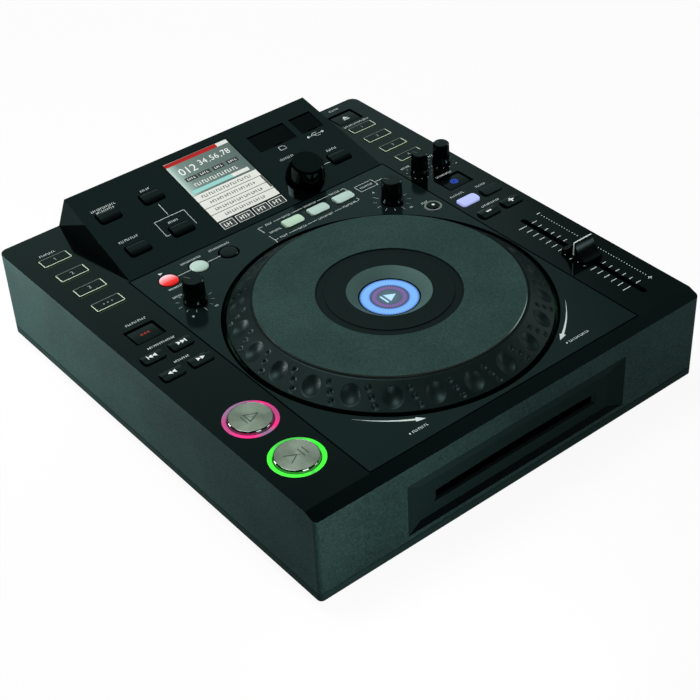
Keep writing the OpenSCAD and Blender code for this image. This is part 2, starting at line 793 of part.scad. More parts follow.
module jog_ring() {
    step = 360 / dimples;
    skirt = hub_flange_z - deck_z + 0.3;
    color(deck_color) translate([0, jog_y, deck_z]) difference() {
        rotate_extrude($fn = 180) polygon([
            [hub_r + hub_fit, skirt], [hub_r + 3.5, skirt], [hub_r + 3.5, seat - shell],
            [slope_r - 1, seat - shell], [jog_r - shell, jog_edge - shell * 0.3], [jog_r - shell, -2],
            [jog_r, -2], [jog_r, jog_edge], [slope_r, seat], [retainer_r + 0.6, seat],
            [retainer_r + 0.6, hub_top - 0.6], [hub_r + hub_fit, hub_top - 0.6]
        ]);
        for (i = [0 : dimples - 1]) {
            on_slope(6 + i * step) translate([0, 0, ball_r - dimple_depth]) sphere(ball_r);
            for (j = [-1 : 1]) on_slope(6 + (i + 0.5) * step + j * 1.1, -j * 5.6)
                translate([0, 0, 2.3]) sphere(2.9);
        }
    }
}

module jog_disc() {
    color(pale) translate([0, jog_y, deck_z]) rotate_extrude($fn = 180) polygon([
        [window_r, jog_rise], [groove_r - groove_w, jog_rise], [groove_r - groove_w, jog_rise - 0.6],
        [groove_r, jog_rise - 0.6], [groove_r, jog_rise], [disc_r - 0.5, jog_rise], [disc_r, jog_rise - 0.5],
        [disc_r, seat], [window_r + 0.6, seat],
        [dial_r + 1.4, jog_rise - dial_depth - 0.3], [dial_r + 0.6, jog_rise - dial_depth + 0.3]
    ]);
}

module jog_hub() {
    base_z = drive_z + drive_h - deck_z;
    flange = hub_flange_z - deck_z;
    color(black) translate([0, jog_y, deck_z]) rotate_extrude() polygon([
        [0.4 * hub_r, base_z], [hub_r + 10, base_z], [hub_r + 10, base_z + 3], [0.8 * hub_r, base_z + 3],
        [0.8 * hub_r, flange - 2.5], [hub_r + 6, flange - 2.5], [hub_r + 6, flange], [hub_r, flange],
        [hub_r, hub_top], [dial_r + 0.4, hub_top], [dial_r + 0.4, hub_top - 4], [0.4 * hub_r, hub_top - 4]
    ]);
}

module jog_display() {
    top = jog_rise - dial_depth;
    color(black) translate([0, jog_y, deck_z]) rotate_extrude() polygon([
        [0, hub_top - 3.6], [dial_r, hub_top - 3.6], [dial_r, hub_top], [retainer_r, hub_top],
        [retainer_r, hub_top + 0.9], [dial_r, hub_top + 0.9], [dial_r, top], [0, top]
    ]);
}

// ---- boards and screen ---------------------------------------------------------------------

pod_post_x = pod_w / 2 - 13.5;
pod_post_s = 40;

module screen() {
    color(black) on_pod(0, screen_s) union() {
        slab(screen_w, screen_d, 0.6, -4, -0.15);
        box(screen_w + 5, screen_d + 3.4, -9, -pod_t - 0.2);
    }
}

module switch_at(x, y) {
    translate([x, y, 0]) {
        box(6, 6, board_top - 0.2, switch_top - 1);
        rod(1.7, switch_top - 1.2, switch_top);
    }
}

module pod_switch_at(x, s) {
    on_pod(x, s) {
        box(6, 6, pod_board_top - 0.2, pod_board_top + switch_h - 1);
        rod(1.7, pod_board_top + switch_h - 1.2, pod_board_top + switch_h);
    }
}

module pot_at(x, y) {
    translate([x, y, 0]) difference() {
        union() {
            box(11, 11, board_top - 0.2, board_top + 7);
            rod(4.6, board_top + 6, under_z - 0.6);
        }
        rod(bore_r, board_top + 1.2, under_z);
    }
}

module encoder() {
    on_pod(select_x, select_s) difference() {
        union() {
            box(12, 12, pod_board_top - 0.2, -7.5);
            rod(4.6, -8, -pod_t - 0.6);
        }
        rod(bore_r, pod_board_top + 1, 0);
    }
}

module fader() {
    l = slider_slot_l + 6;
    translate([slider_x, slider_y, 0]) difference() {
        box(9, l, board_top - 0.2, board_top + 8);
        box(slider_slot_w, slider_slot_l, board_top + 1.2, board_top + 9);
    }
}

module main_board() {
    difference() {
        translate([0, 0, board_z]) linear_extrude(board_t) union() {
            translate([-side_x + 6.5, front_y + 16.5]) square([body_w - 13, body_d - 44.5]);
            translate([-side_x + 16.5, 0]) square([body_w - 33, rear_y - 12.5]);
        }
        translate([0, jog_y, 0]) rod(hub_r + 15, board_z - 1, board_top + 1);
        for (x = [-1, 1], y = boss_ys) translate([x * boss_x, y, 0])
            rod(screw_hole_r, board_z - 1, board_top + 1);
    }
}

module pod_board() {
    on_pod(0, 43) box(2 * pod_post_x + 10, 70, pod_board_n, pod_board_top);
    for (x = [-1, 1], s = [14, 72]) {
        y = pod_y + s * cos(pod_angle) - pod_board_n * sin(pod_angle);
        z = deck_z + s * sin(pod_angle) + pod_board_n * cos(pod_angle);
        translate([x * 40, y, 0]) rod(2.5, board_top - 0.2, z + 0.8);
    }
    on_pod(card_x, cover_s + cover_d / 2) difference() {
        box(28, 5, -pocket_depth - 19, -pocket_depth - 1.7);
        box(24.4, 2.4, -pocket_depth - 18, 0);
    }
    on_pod(usb_x, cover_s + cover_d / 2) difference() {
        box(14.6, 7.4, -pocket_depth - 15, -pocket_depth - 1.7);
        box(12.6, 5.4, -pocket_depth - 14, 0);
    }
}

module control_board() {
    color([0.10, 0.30, 0.18]) union() {
        main_board();
        pod_board();
        for (i = [0 : 3]) {
            switch_at(-column_x, hot_cue_y - i * hot_cue_pitch);
            switch_at(column_x, source_y - i * source_pitch);
        }
        for (y = [direction_y, cue_y, play_y]) switch_at(-column_x, y);
        for (y = [eject_y, jog_mode_y]) switch_at(column_x, y);
        for (x = [-1, 1], y = [skip_y, search_y]) switch_at(-column_x + x * pair_x, y);
        for (x = [-1, 1], y = [range_y, bend_y]) switch_at(column_x + x * pair_x, y);
        for (i = [-1 : 1]) {
            switch_at(effect_x + i * effect_pitch, effect_row);
            switch_at(loop_x + i * loop_pitch, effect_row);
        }
        switch_at(tap_x, tap_y);
        for (x = [-1, 1], s = [pod_key_low, pod_key_high]) pod_switch_at(-pod_key_x + x * pod_key_dx, s);
        pod_switch_at(back_x, pod_key_low);
        for (x = [-1, 1]) pot_at(column_x + x * trim_x, trim_y);
        pot_at(adjust_knob_x, knob_row);
        pot_at(effect_knob_x, effect_knob_y);
        encoder();
        fader();
        translate([-20, 100, 0]) box(18, 18, board_top - 0.2, board_top + 1.4);
        translate([20, 105, 0]) box(14, 20, board_top - 0.2, board_top + 1.2);
    }
}

supply_w = 92;
supply_d = 80;
supply_z = tray_top + 6;                 // underside of the power supply's board

module power_supply() {
    color([0.35, 0.28, 0.12]) translate([17.5 + supply_w / 2 - side_x, rear_y - 72.5, 0]) union() {
        box(supply_w, supply_d, supply_z, supply_z + board_t);
        for (x = [-1, 1], y = [-1, 1]) translate([x * (supply_w / 2 - 6), y * (supply_d / 2 - 6), 0])
            rod(3, tray_top, supply_z + 0.2);
        translate([-14, 6, 0]) box(34, 30, tray_top + 7.4, tray_top + 33);
        translate([-30, -24, 0]) rod(8, tray_top + 7.4, tray_top + 34);
        translate([-8, -26, 0]) rod(6.5, tray_top + 7.4, tray_top + 28);
        translate([24, 0, 0]) box(4, 60, tray_top + 7.4, tray_top + 30);
        translate([36, 24, 0]) box(12, 16, tray_top + 7.4, tray_top + 20);
    }
}

// ---- keys: Z = 0 at the surface, t the thickness of the skin, foot the stem's lower end -------

module stem(w, d, t, foot) {
    box(w + 2.4, d + 2.4, -t - 1.5, -t - 0.3);
    box(3.4, 3.4, foot, -t - 1.4);
}

module round_stem(r, t, foot) {
    rod(r + 1.2, -t - 1.5, -t - 0.3);
    rod(2, foot, -t - 1.4);
}

// A key with a crown curved front to rear.
module crowned_key(w, d, r, crown, bow, t = wall, foot = key_foot) {
    intersection() {
        slab(w, d, r, -t - 0.4, crown + 1);
        translate([-w, 0, crown - bow]) rotate([0, 90, 0]) cylinder(r = bow, h = 2 * w, $fn = 180);
    }
    stem(w, d, t, foot);
}

module domed_key(t = wall, foot = key_foot) {
    crowned_key(domed_w, domed_d, domed_corner, 1.7, 12, t, foot);
}

module well_key() {
    crowned_key(well_key_w, well_key_d, 0.6, -0.5, 70);
}

module outlined_key(d) {
    slab(outlined_w, d, 0.9, -wall - 0.4, 0.1);
    slab(outlined_w - 1.9, d - 1.9, 0.5, 0, 0.6);
    stem(outlined_w, d, wall, key_foot);
}

module round_key(r, crown) {
    rotate_extrude() polygon([
        [0, -wall - 0.4], [r, -wall - 0.4], [r, crown - 0.6], [r * 0.93, crown - 0.2],
        [r * 0.7, crown - 0.05], [0, crown]
    ]);
    round_stem(r, wall, key_foot);
}

module transport_button() {
    rotate_extrude($fn = 120) polygon([
        [0, -wall - 0.4], [button_r, -wall - 0.4], [button_r, 0.4], [button_r - 0.5, 1.7],
        [button_r - 0.7, 1.8], [0, 1.8]
    ]);
    round_stem(button_r, wall, key_foot);
}

// ---- knobs ---------------------------------------------------------------------------------

module knob(r, flare, h, grips) {
    difference() {
        rotate_extrude() polygon([
            [0, 0.5], [r + flare, 0.5], [r + flare, 2], [r + flare * 0.25, 4.5], [r, h - 0.7], [r - 0.7, h], [0, h]
        ]);
        for (i = [0 : grips - 1]) rotate([0, 0, i * 360 / grips]) translate([r + 0.35, 0, 3.5])
            cylinder(r = 0.6, h = h);
    }
    rod(shaft_r, board_top + 1.7 - deck_z, 1);
}

module select_knob() {
    gap = air + travel;
    color(black) on_pod(select_x, select_s) difference() {
        rotate_extrude($fn = 120) polygon([
            [0, gap], [select_r, gap], [select_r, gap + 1.2], [select_r - 2.2, select_h - 1.4],
            [select_r - 3.4, select_h], [0, select_h]
        ]);
        rod(shaft_r + 0.2, gap - 1, 2.9);
        rod(2.35, 2, 9.6);
    }
}

module select_shaft() {
    color(metal) on_pod(select_x, select_s) union() {
        rod(shaft_r, pod_board_top + 1 + air + travel, 2.8);
        rod(2.3, 2.5, 9.2);
    }
}

module pitch_slider() {
    hollow_r = 11;
    ridge = 1.3;
    color(black) on_deck(slider_x, slider_y) union() {
        difference() {
            slab(cap_w, cap_l, 0.8, 0.4, cap_h);
            for (y = [-1, 1]) translate([-cap_w, y * (hollow_r + ridge), cap_h + 1.2]) rotate([0, 90, 0])
                cylinder(r = hollow_r, h = 2 * cap_w, $fn = 120);
        }
        box(2.4, 8, board_top + 1.6 - deck_z, 1);
    }
}

// A flap over a socket: plate, knuckle and two pins in the pocket's side walls.
module socket_cover(x, w) {
    front = cover_s + air;
    difference() {
        union() {
            on_pod(x, (front + hinge_s) / 2) slab(w - 2 * air, hinge_s - front, 0.5, -2, -0.3);
            on_pod(x, hinge_s) translate([0, 0, hinge_n]) rotate([0, 90, 0]) {
                cylinder(r = 1.2, h = w - 2 * air, center = true);
                cylinder(r = pin_r, h = w + 2 * pin_l, center = true);
            }
        }
        on_pod(x, front + 0.2) box(8, 1.8, -3, 1);
    }
}

// ---- nodes ---------------------------------------------------------------------------------

module hot_cue(i) {
    color(deck_color) on_deck(-column_x, hot_cue_y - i * hot_cue_pitch) outlined_key(hot_cue_d);
}

module source_key(i) {
    color(deck_color) on_deck(column_x, source_y - i * source_pitch) outlined_key(source_d);
}

module effect_key(i) {
    color(pale) on_deck(effect_x + i * effect_pitch, effect_row) domed_key();
}

module loop_key(i) {
    color(black) on_deck(loop_x + i * loop_pitch, effect_row) round_key(loop_r, 0.7);
}

module deck_key(x, y) {
    color(deck_color) on_deck(x, y) domed_key();
}

module pod_key(x, s) {
    color(black) on_pod(x, s) domed_key(pod_t, pod_foot);
}

module large_well_key(x, y) {
    color(black) on_deck(x, y) well_key();
}

module large_button(y) {
    color(metal) on_deck(-column_x, y) transport_button();
}

module deck_knob(x, y, r, h) {
    color(black) on_deck(x, y) knob(r, 0.8, h, 16);
}

top_case();
deck_panel();
base_tray();
slot_bezel();
drive_housing();
load_roller();
turntable();
jog_ring();
jog_disc();
jog_hub();
jog_display();
screen();
control_board();
power_supply();
rear_sockets();
power_switch();
feet();
case_screws();
hot_cue(0);  // hot_cue_1
hot_cue(1);  // hot_cue_2
hot_cue(2);  // hot_cue_3
hot_cue(3);  // memory_key
large_well_key(-column_x, direction_y);  // direction_key
deck_key(-column_x - pair_x, skip_y);  // skip_back_key
deck_key(-column_x + pair_x, skip_y);  // skip_forward_key
deck_key(-column_x - pair_x, search_y);  // search_back_key
deck_key(-column_x + pair_x, search_y);  // search_forward_key
large_button(cue_y);  // cue_button
large_button(play_y);  // play_button
pod_key(-pod_key_x - pod_key_dx, pod_key_high);  // text_key
pod_key(-pod_key_x + pod_key_dx, pod_key_high);  // time_key
pod_key(-pod_key_x + pod_key_dx, pod_key_low);  // tempo_key
pod_key(-pod_key_x - pod_key_dx, pod_key_low);  // lock_key
pod_key(back_x, pod_key_low);  // back_key
large_well_key(column_x, eject_y);  // eject_key
source_key(0);  // source_1
source_key(1);  // source_2
source_key(2);  // source_3
source_key(3);  // source_4
effect_key(-1);  // effect_1
effect_key(0);  // effect_2
effect_key(1);  // effect_3
loop_key(-1);  // loop_in
loop_key(0);  // loop_out
loop_key(1);  // loop_exit
large_well_key(column_x, jog_mode_y);  // jog_mode_key
deck_key(column_x + pair_x, range_y);  // range_key
deck_key(column_x - pair_x, range_y);  // tempo_lock_key
deck_key(column_x + pair_x, bend_y);  // bend_plus
deck_key(column_x - pair_x, bend_y);  // bend_minus
color(black) on_deck(tap_x, tap_y) round_key(tap_r, 1.4);  // tap_button
deck_knob(adjust_knob_x, knob_row, large_knob_r, large_knob_h);  // jog_adjust_knob
deck_knob(effect_knob_x, effect_knob_y, large_knob_r, large_knob_h);  // effect_knob
deck_knob(column_x - trim_x, trim_y, small_knob_r, small_knob_h);  // start_knob
deck_knob(column_x + trim_x, trim_y, small_knob_r, small_knob_h);  // stop_knob
select_knob();
select_shaft();
pitch_slider();
color(deck_color) socket_cover(card_x, card_w);  // card_cover
color(deck_color) socket_cover(usb_x, usb_w);  // usb_cover
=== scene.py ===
import bpy
import bmesh
import math
from mathutils import Matrix, Vector


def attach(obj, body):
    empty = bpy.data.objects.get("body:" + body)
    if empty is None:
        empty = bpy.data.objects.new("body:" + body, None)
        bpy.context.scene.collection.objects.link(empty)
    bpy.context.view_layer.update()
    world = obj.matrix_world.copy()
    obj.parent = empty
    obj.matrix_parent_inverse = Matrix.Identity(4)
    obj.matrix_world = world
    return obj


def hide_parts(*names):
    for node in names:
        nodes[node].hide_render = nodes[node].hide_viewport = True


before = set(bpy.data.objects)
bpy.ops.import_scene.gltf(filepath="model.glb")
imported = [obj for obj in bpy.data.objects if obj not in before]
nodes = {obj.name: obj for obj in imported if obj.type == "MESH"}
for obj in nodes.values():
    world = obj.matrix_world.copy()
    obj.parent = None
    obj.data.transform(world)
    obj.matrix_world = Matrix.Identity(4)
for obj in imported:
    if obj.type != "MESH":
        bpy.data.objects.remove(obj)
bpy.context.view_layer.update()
print("frame loaded:", len(nodes), "nodes")

mm = 0.001
case = {"deck": 70.5, "rearEdge": 170.5, "podFront": 81.5, "podRise": 21.7, "podRun": 83.3, "column": 128.6,
        "wheelY": -52.4, "seam": 12.7, "wallX": 149.3, "wallY": 163.5}
column, wheelY = case["column"], case["wheelY"]
buttonRows = {"cue": -80.8, "play": -124.5}
tapPlace = (96.3, 15.9)
podAngle = math.atan2(case["podRise"], case["podRun"])


def shifted(place, x, y, z=0.0):
    return place @ Matrix.Translation((x, y, z))


def onDeck(x=0.0, y=0.0, z=0.0, turn=0.0):
    return Matrix.Translation((x, y, case["deck"] + z)) @ Matrix.Rotation(math.radians(turn), 4, "Z")


def onPod(x=0.0, s=0.0, n=0.0):  # x across, s up the slope, n out of it
    base = Matrix.Translation((0, case["podFront"], case["deck"])) @ Matrix.Rotation(podAngle, 4, "X")
    return shifted(base, x, s, n)


def addObject(name, data):
    made = bpy.data.objects.new(name, data)
    bpy.context.scene.collection.objects.link(made)
    return made


def plugIn(socket, value):  # a socket is linked, a plain value is set
    if isinstance(value, bpy.types.NodeSocket):
        socket.id_data.links.new(value, socket)
    else:
        socket.default_value = value


def startMaterial(name):
    material = bpy.data.materials.new(name)
    material.use_nodes = True
    tree = material.node_tree
    tree.nodes.clear()
    out = tree.nodes.new("ShaderNodeOutputMaterial")
    shader = tree.nodes.new("ShaderNodeBsdfPrincipled")
    plugIn(out.inputs["Surface"], shader.outputs["BSDF"])
    coords = tree.nodes.new("ShaderNodeTexCoord")
    return material, shader, coords.outputs["Object"]


def nodeAfter(socket, kind):  # a new node in the same tree
    return socket.id_data.nodes.new("ShaderNode" + kind)


def noiseOf(coords, scale, detail=4.0, roughness=0.55, stretch=None):
    if stretch:
        mapping = nodeAfter(coords, "Mapping")
        mapping.inputs["Scale"].default_value = stretch
        plugIn(mapping.inputs["Vector"], coords)
        coords = mapping.outputs["Vector"]
    noise = nodeAfter(coords, "TexNoise")
    for socket, value in (("Scale", scale), ("Detail", detail), ("Roughness", roughness), ("Vector", coords)):
        plugIn(noise.inputs[socket], value)
    return noise.outputs["Fac"]


def rampOf(fac, stops, interpolation="LINEAR"):
    ramp = nodeAfter(fac, "ValToRGB")
    ramp.color_ramp.interpolation = interpolation
    elements = ramp.color_ramp.elements
    while len(elements) < len(stops):
        elements.new(0.5)
    for element, (place, color) in zip(elements, stops):
        element.position = place
        element.color = (*color, 1.0)
    plugIn(ramp.inputs["Fac"], fac)
    return ramp.outputs["Color"]


def rangeOf(value, low, high, toLow=0.0, toHigh=1.0):
    node = nodeAfter(value, "MapRange")
    names = ("Value", "From Min", "From Max", "To Min", "To Max")
    for socket, number in zip(names, (value, low, high, toLow, toHigh)):
        plugIn(node.inputs[socket], number)
    return node.outputs["Result"]


def mixOf(fac, first, second):
    node = nodeAfter(fac, "Mix")
    node.data_type = "RGBA"
    plugIn(node.inputs[0], fac)
    for socket, value in ((node.inputs[6], first), (node.inputs[7], second)):
        plugIn(socket, value if isinstance(value, bpy.types.NodeSocket) else (*value, 1.0))
    return node.outputs[2]


def mathOf(operation, first, second=None):
    node = nodeAfter(first, "Math")
    node.operation = operation
    plugIn(node.inputs[0], first)
    if second is not None:
        plugIn(node.inputs[1], second)
    return node.outputs[0]


def blendOf(first, second, share=0.5):  # share of the first
    return mathOf("ADD", mathOf("MULTIPLY", first, share), mathOf("MULTIPLY", second, 1 - share))


def bumpOf(shader, height, strength, distance=0.0002):
    bump = nodeAfter(height, "Bump")
    for socket, value in (("Strength", strength), ("Distance", distance), ("Height", height)):
        plugIn(bump.inputs[socket], value)
    plugIn(shader.inputs["Normal"], bump.outputs["Normal"])


def axisOf(coords, axis):
    split = nodeAfter(coords, "SeparateXYZ")
    plugIn(split.inputs["Vector"], coords)
    return split.outputs[axis]


def radiusOf(coords, x, y):  # distance from an upright axis, in metres
    mapping = nodeAfter(coords, "Mapping")
    for socket, value in (("Location", (-x * mm, -y * mm, 0)), ("Scale", (1, 1, 0)), ("Vector", coords)):
        plugIn(mapping.inputs[socket], value)
    length = nodeAfter(coords, "VectorMath")
    length.operation = "LENGTH"
    plugIn(length.inputs[0], mapping.outputs["Vector"])
    return length.outputs["Value"], mapping.outputs["Vector"]


def angleOf(local):
    return mathOf("ARCTAN2", axisOf(local, "Y"), axisOf(local, "X"))


glossTint = (0.58, 1.0, 0.97, 1.0)
socketNames = {"base": "Base Color", "roughness": "Roughness", "specular": "Specular IOR Level",
               "metallic": "Metallic", "light": "Emission Color", "glow": "Emission Strength",
               "tint": "Specular Tint"}


def setLook(shader, **looks):
    for key, value in looks.items():
        plugIn(shader.inputs[socketNames[key]], value)


def lightUp(shader, shade, glow, roughness):  # one colour for the surface and for its light
    setLook(shader, base=shade, light=shade, glow=glow, roughness=roughness)


def scaled(color, share):
    return tuple(c * share for c in color)


def toneOf(fac, color, low, high, start=0.38, end=0.62):  # a colour from a darker to a paler share of itself
    return rampOf(fac, ((start, scaled(color, low)), (end, scaled(color, high))))


def plastic(name, color, roughness, grain=0.0, grainScale=2500.0, vary=0.18, specular=0.5):
    material, shader, coords = startMaterial(name)
    cloud = noiseOf(coords, 40.0, 5.0)
    fine = noiseOf(coords, grainScale, 3.0)
    setLook(shader, base=toneOf(blendOf(cloud, fine), color, 1 - vary, 1 + vary),
            roughness=rangeOf(cloud, 0.3, 0.7, roughness * 0.88, roughness * 1.12), specular=specular, tint=glossTint)
    if grain:
        bumpOf(shader, fine, grain)
    return material


def glowing(name, color, glow, roughness=0.35, base=None):
    material, shader, coords = startMaterial(name)
    tone = toneOf(noiseOf(coords, 300.0, 3.0), base or color, 0.92, 1.0, 0.3, 0.7)
    setLook(shader, base=tone, light=(*color, 1), glow=glow, roughness=roughness)
    return material


finishes = {
    "gloss": (0.0007, 0.0014, 0.0013), "sideGreen": (0.017, 0.040, 0.036), "panel": (0.0040, 0.0095, 0.0088),
    "wheel": (0.0040, 0.0085, 0.0078), "disc": (0.024, 0.052, 0.046), "flat": (0.0020, 0.0048, 0.0045),
    "groove": (0.0008, 0.0016, 0.0014), "key": (0.0010, 0.0016, 0.0015), "knob": (0.0005, 0.0008, 0.0008),
    "funnel": (0.066, 0.120, 0.108), "discRim": (0.16, 0.20, 0.18), "tapRing": (0.20, 0.24, 0.22),
}


def caseMaterial():  # gloss on the deck and the pod, a fine sand texture on the outer walls
    material, shader, coords = startMaterial("caseSkin")
    normal = nodeAfter(coords, "TexCoord").outputs["Normal"]
    height = axisOf(coords, "Z")
    steep = mathOf("LESS_THAN", axisOf(normal, "Z"), 0.6)
    below = mathOf("LESS_THAN", height, (case["deck"] - 0.02) * mm)
    outer = [mathOf("GREATER_THAN", mathOf("ABSOLUTE", axisOf(coords, axis)), edge * mm)
             for axis, edge in (("X", case["wallX"]), ("Y", case["wallY"]))]
    side = mathOf("MULTIPLY", mathOf("MULTIPLY", steep, below), mathOf("MAXIMUM", *outer))
    cloud = noiseOf(coords, 25.0, 5.0)
    sand = noiseOf(coords, 900.0, 3.0, 0.75)
    deckTone = toneOf(cloud, finishes["gloss"], 0.8, 1.2, 0.3, 0.7)
    sideTone = toneOf(blendOf(sand, cloud, 0.75), finishes["sideGreen"], 0.4, 1.65)
    # painted shade: the strip at the foot of the wall, where the case steps in above the tray, is painted near-black
    seam = mathOf("LESS_THAN", height, case["seam"] * mm)
    sideTone = mixOf(seam, sideTone, finishes["groove"])
    setLook(shader, base=mixOf(side, deckTone, sideTone), roughness=rangeOf(side, 0, 1, 0.09, 0.62), specular=0.5,
            tint=glossTint)
    bumpOf(shader, mathOf("MULTIPLY", sand, rangeOf(side, 0, 1, 0.012, 1.0)), 0.5, 0.00015)
    return material


def panelMaterial():
    material, shader, coords = startMaterial("panelSkin")
    cloud = noiseOf(coords, 25.0, 5.0)
    fine = noiseOf(coords, 2600.0, 2.0)
    tone = toneOf(cloud, finishes["panel"], 0.9, 1.12, 0.3, 0.7)
    ring = mathOf("LESS_THAN", radiusOf(coords, *tapPlace)[0], 6.15 * mm)
    setLook(shader, base=mixOf(ring, tone, finishes["tapRing"]), roughness=0.14, specular=0.5, tint=glossTint)
    bumpOf(shader, fine, 0.03, 0.0001)
    return material


def bezelMaterial():  # painted reflection: the ledges that face up are painted almost black and the faces that look down paler
    material, shader, coords = startMaterial("bezelPlastic")
    normal = nodeAfter(coords, "TexCoord").outputs["Normal"]
    # painted reflection and shade: faces that look up are near black, faces that look down are paler
    shadeByFacing = rangeOf(axisOf(normal, "Z"), -1, 1)
    fine = noiseOf(coords, 2300.0, 3.0)
    upright = (0.012, 0.026, 0.024)
    tone = rampOf(shadeByFacing, ((0.0, (0.022, 0.046, 0.042)), (0.3, (0.020, 0.042, 0.038)), (0.5, upright),
                                 (0.58, upright), (0.62, (0.0006, 0.0008, 0.0009))))
    level = rangeOf(fine, 0.3, 0.7, 0.82, 1.0)
    setLook(shader, base=mixOf(level, (0, 0, 0), tone), roughness=0.6, specular=0.05, tint=glossTint)
    bumpOf(shader, fine, 0.12)
    return material


discZones = ((0.0, "funnel"), (26.8, "flat"), (39.9, "groove"), (41.0, "flat"), (44.6, "groove"), (45.9, "disc"))
discEdges = {"funnel": 26.75, "rim": 84.45}


def discMaterial():  # by radius: funnel, flat ring, grooves painted near-black as shade, touch surface, bright rim
    material, shader, coords = startMaterial("touchDisc")
    away = radiusOf(coords, 0, wheelY)[0]
    grain = noiseOf(coords, 950.0, 4.0, 0.7)
    cloud = noiseOf(coords, 30.0, 5.0)
    tone = toneOf(blendOf(grain, cloud, 0.75), finishes["disc"], 0.62, 1.42)
    levels = {"funnel": 0.9, "flat": 0.35, "groove": 0.0, "disc": 1.0}
    stops = [(radius / 100.0, (levels[zone],) * 3) for radius, zone in discZones]
    zones = rampOf(rangeOf(away, 0, 0.1), stops, "CONSTANT")
    tone = mixOf(mathOf("LESS_THAN", away, discEdges["funnel"] * mm), tone, finishes["funnel"])
    tone = mixOf(mathOf("GREATER_THAN", zones, 0.8), finishes["flat"], tone)
    # painted shade: the grooves are filled with near-black
    tone = mixOf(mathOf("LESS_THAN", zones, 0.2), tone, finishes["groove"])
    rim = mathOf("GREATER_THAN", away, discEdges["rim"] * mm)
    setLook(shader, base=mixOf(rim, tone, finishes["discRim"]), metallic=mathOf("MULTIPLY", rim, 0.9),
            roughness=rangeOf(rim, 0, 1, 0.55, 0.2), specular=0.2, tint=glossTint)
    bumpOf(shader, grain, 0.25, 0.0001)
    return material


def wheelMaterial():  # painted shade: near-black at the foot of the slope and under the disc's edge
    material, shader, coords = startMaterial("wheelPlastic")
    cloud = noiseOf(coords, 60.0, 5.0)
    fine = noiseOf(coords, 2000.0, 3.0)
    tone = toneOf(blendOf(cloud, fine, 0.4), finishes["wheel"], 0.75, 1.25)
    # painted shade: the foot of the ring and the part under the disc's edge get the near-black shade colour
    low = mathOf("LESS_THAN", axisOf(coords, "Z"), (case["deck"] + 0.35) * mm)
    underDiscShade = mathOf("LESS_THAN", radiusOf(coords, 0, wheelY)[0], 86.4 * mm)
    dark = mathOf("MAXIMUM", low, underDiscShade)
    setLook(shader, base=mixOf(dark, tone, finishes["groove"]), roughness=rangeOf(cloud, 0.3, 0.7, 0.42, 0.5),
            specular=0.2, tint=glossTint)
    bumpOf(shader, fine, 0.12)
    return material


def spunSteel(name, y):  # turned face of a round button, with a faint painted glint by angle
    material, shader, coords = startMaterial(name)
    away, local = radiusOf(coords, -column, y)
    turned = noiseOf(away, 3200.0, 3.0, 0.7)
    cloud = noiseOf(coords, 160.0, 4.0)
    # painted highlight: brightness rises and falls two times round the button
    paintedGlint = mathOf("SINE", mathOf("MULTIPLY", angleOf(local), 2.0))
    mixed = mathOf("ADD", blendOf(turned, cloud), rangeOf(paintedGlint, -1, 1, -0.12, 0.12))
    tone = rampOf(mixed, ((0.28, (0.15, 0.195, 0.145)), (0.72, (0.33, 0.41, 0.325))))
    setLook(shader, base=tone, metallic=0.45, roughness=0.42)
    bumpOf(shader, turned, 0.08, 0.0001)
    return material


def lampRing(name, y, stops, glow):  # stops: share of a turn from -X, colour
    material, shader, coords = startMaterial(name)
    local = radiusOf(coords, -column, y)[1]
    shade = rampOf(rangeOf(angleOf(local), -math.pi, math.pi), stops)
    lightUp(shader, shade, glow, 0.5)
    setLook(shader, specular=0.15)
    return material


def litKey(name, y, reach, stops, glow):  # painted highlight: colour runs from darker at the key's front edge to paler at its back
    material, shader, coords = startMaterial(name)
    place = rangeOf(axisOf(coords, "Y"), (y - reach) * mm, (y + reach) * mm)
    lightUp(shader, rampOf(place, stops), glow, 0.35)
    return material


plugs = {"face": 165.6, "reach": 5.0,
         "colors": ((58, (0.62, 0.62, 0.60)), (78, (0.45, 0.02, 0.02)), (102, (0.55, 0.20, 0.02)))}


def socketMaterial():  # black, with the round plugs that stand proud in their own colours
    material, shader, coords = startMaterial("socketPlastic")
    across = axisOf(coords, "X")
    proud = mathOf("GREATER_THAN", axisOf(coords, "Y"), plugs["face"] * mm)
    fine = noiseOf(coords, 1500.0, 2.0)
    tone = rampOf(fine, ((0.3, (0.010, 0.011, 0.011)), (0.7, (0.016, 0.017, 0.017))))
    for x, color in plugs["colors"]:
        away = mathOf("ABSOLUTE", mathOf("SUBTRACT", across, x * mm))
        hit = mathOf("MULTIPLY", mathOf("LESS_THAN", away, plugs["reach"] * mm), proud)
        tone = mixOf(hit, tone, color)
    setLook(shader, base=tone, roughness=0.4)
    return material


def sheetMetal(name, color, roughness):
    material, shader, coords = startMaterial(name)
    cloud = noiseOf(coords, 60.0, 6.0)
    streaks = noiseOf(coords, 500.0, 3.0, 0.6, (0.05, 1.0, 1.0))
    mixed = blendOf(streaks, cloud)
    setLook(shader, base=toneOf(mixed, color, 0.85, 1.0, 0.35, 0.65), metallic=1.0,
            roughness=rangeOf(mixed, 0.3, 0.7, roughness * 0.85, roughness * 1.15))
    return material


def boardMaterial():
    material, shader, coords = startMaterial("boardGreen")
    cells = nodeAfter(coords, "TexVoronoi")
    cells.inputs["Scale"].default_value = 220.0
    plugIn(cells.inputs["Vector"], coords)
    tone = rampOf(cells.outputs["Distance"], ((0.1, (0.02, 0.10, 0.05)), (0.6, (0.03, 0.16, 0.08))))
    setLook(shader, base=tone, roughness=0.4)
    return material


def printMaterial(name, color):
    material, shader, coords = startMaterial(name)
    fine = noiseOf(coords, 1800.0, 2.0)
    setLook(shader, base=toneOf(fine, color, 0.9, 1.0, 0.3, 0.7), roughness=0.5)
    return material


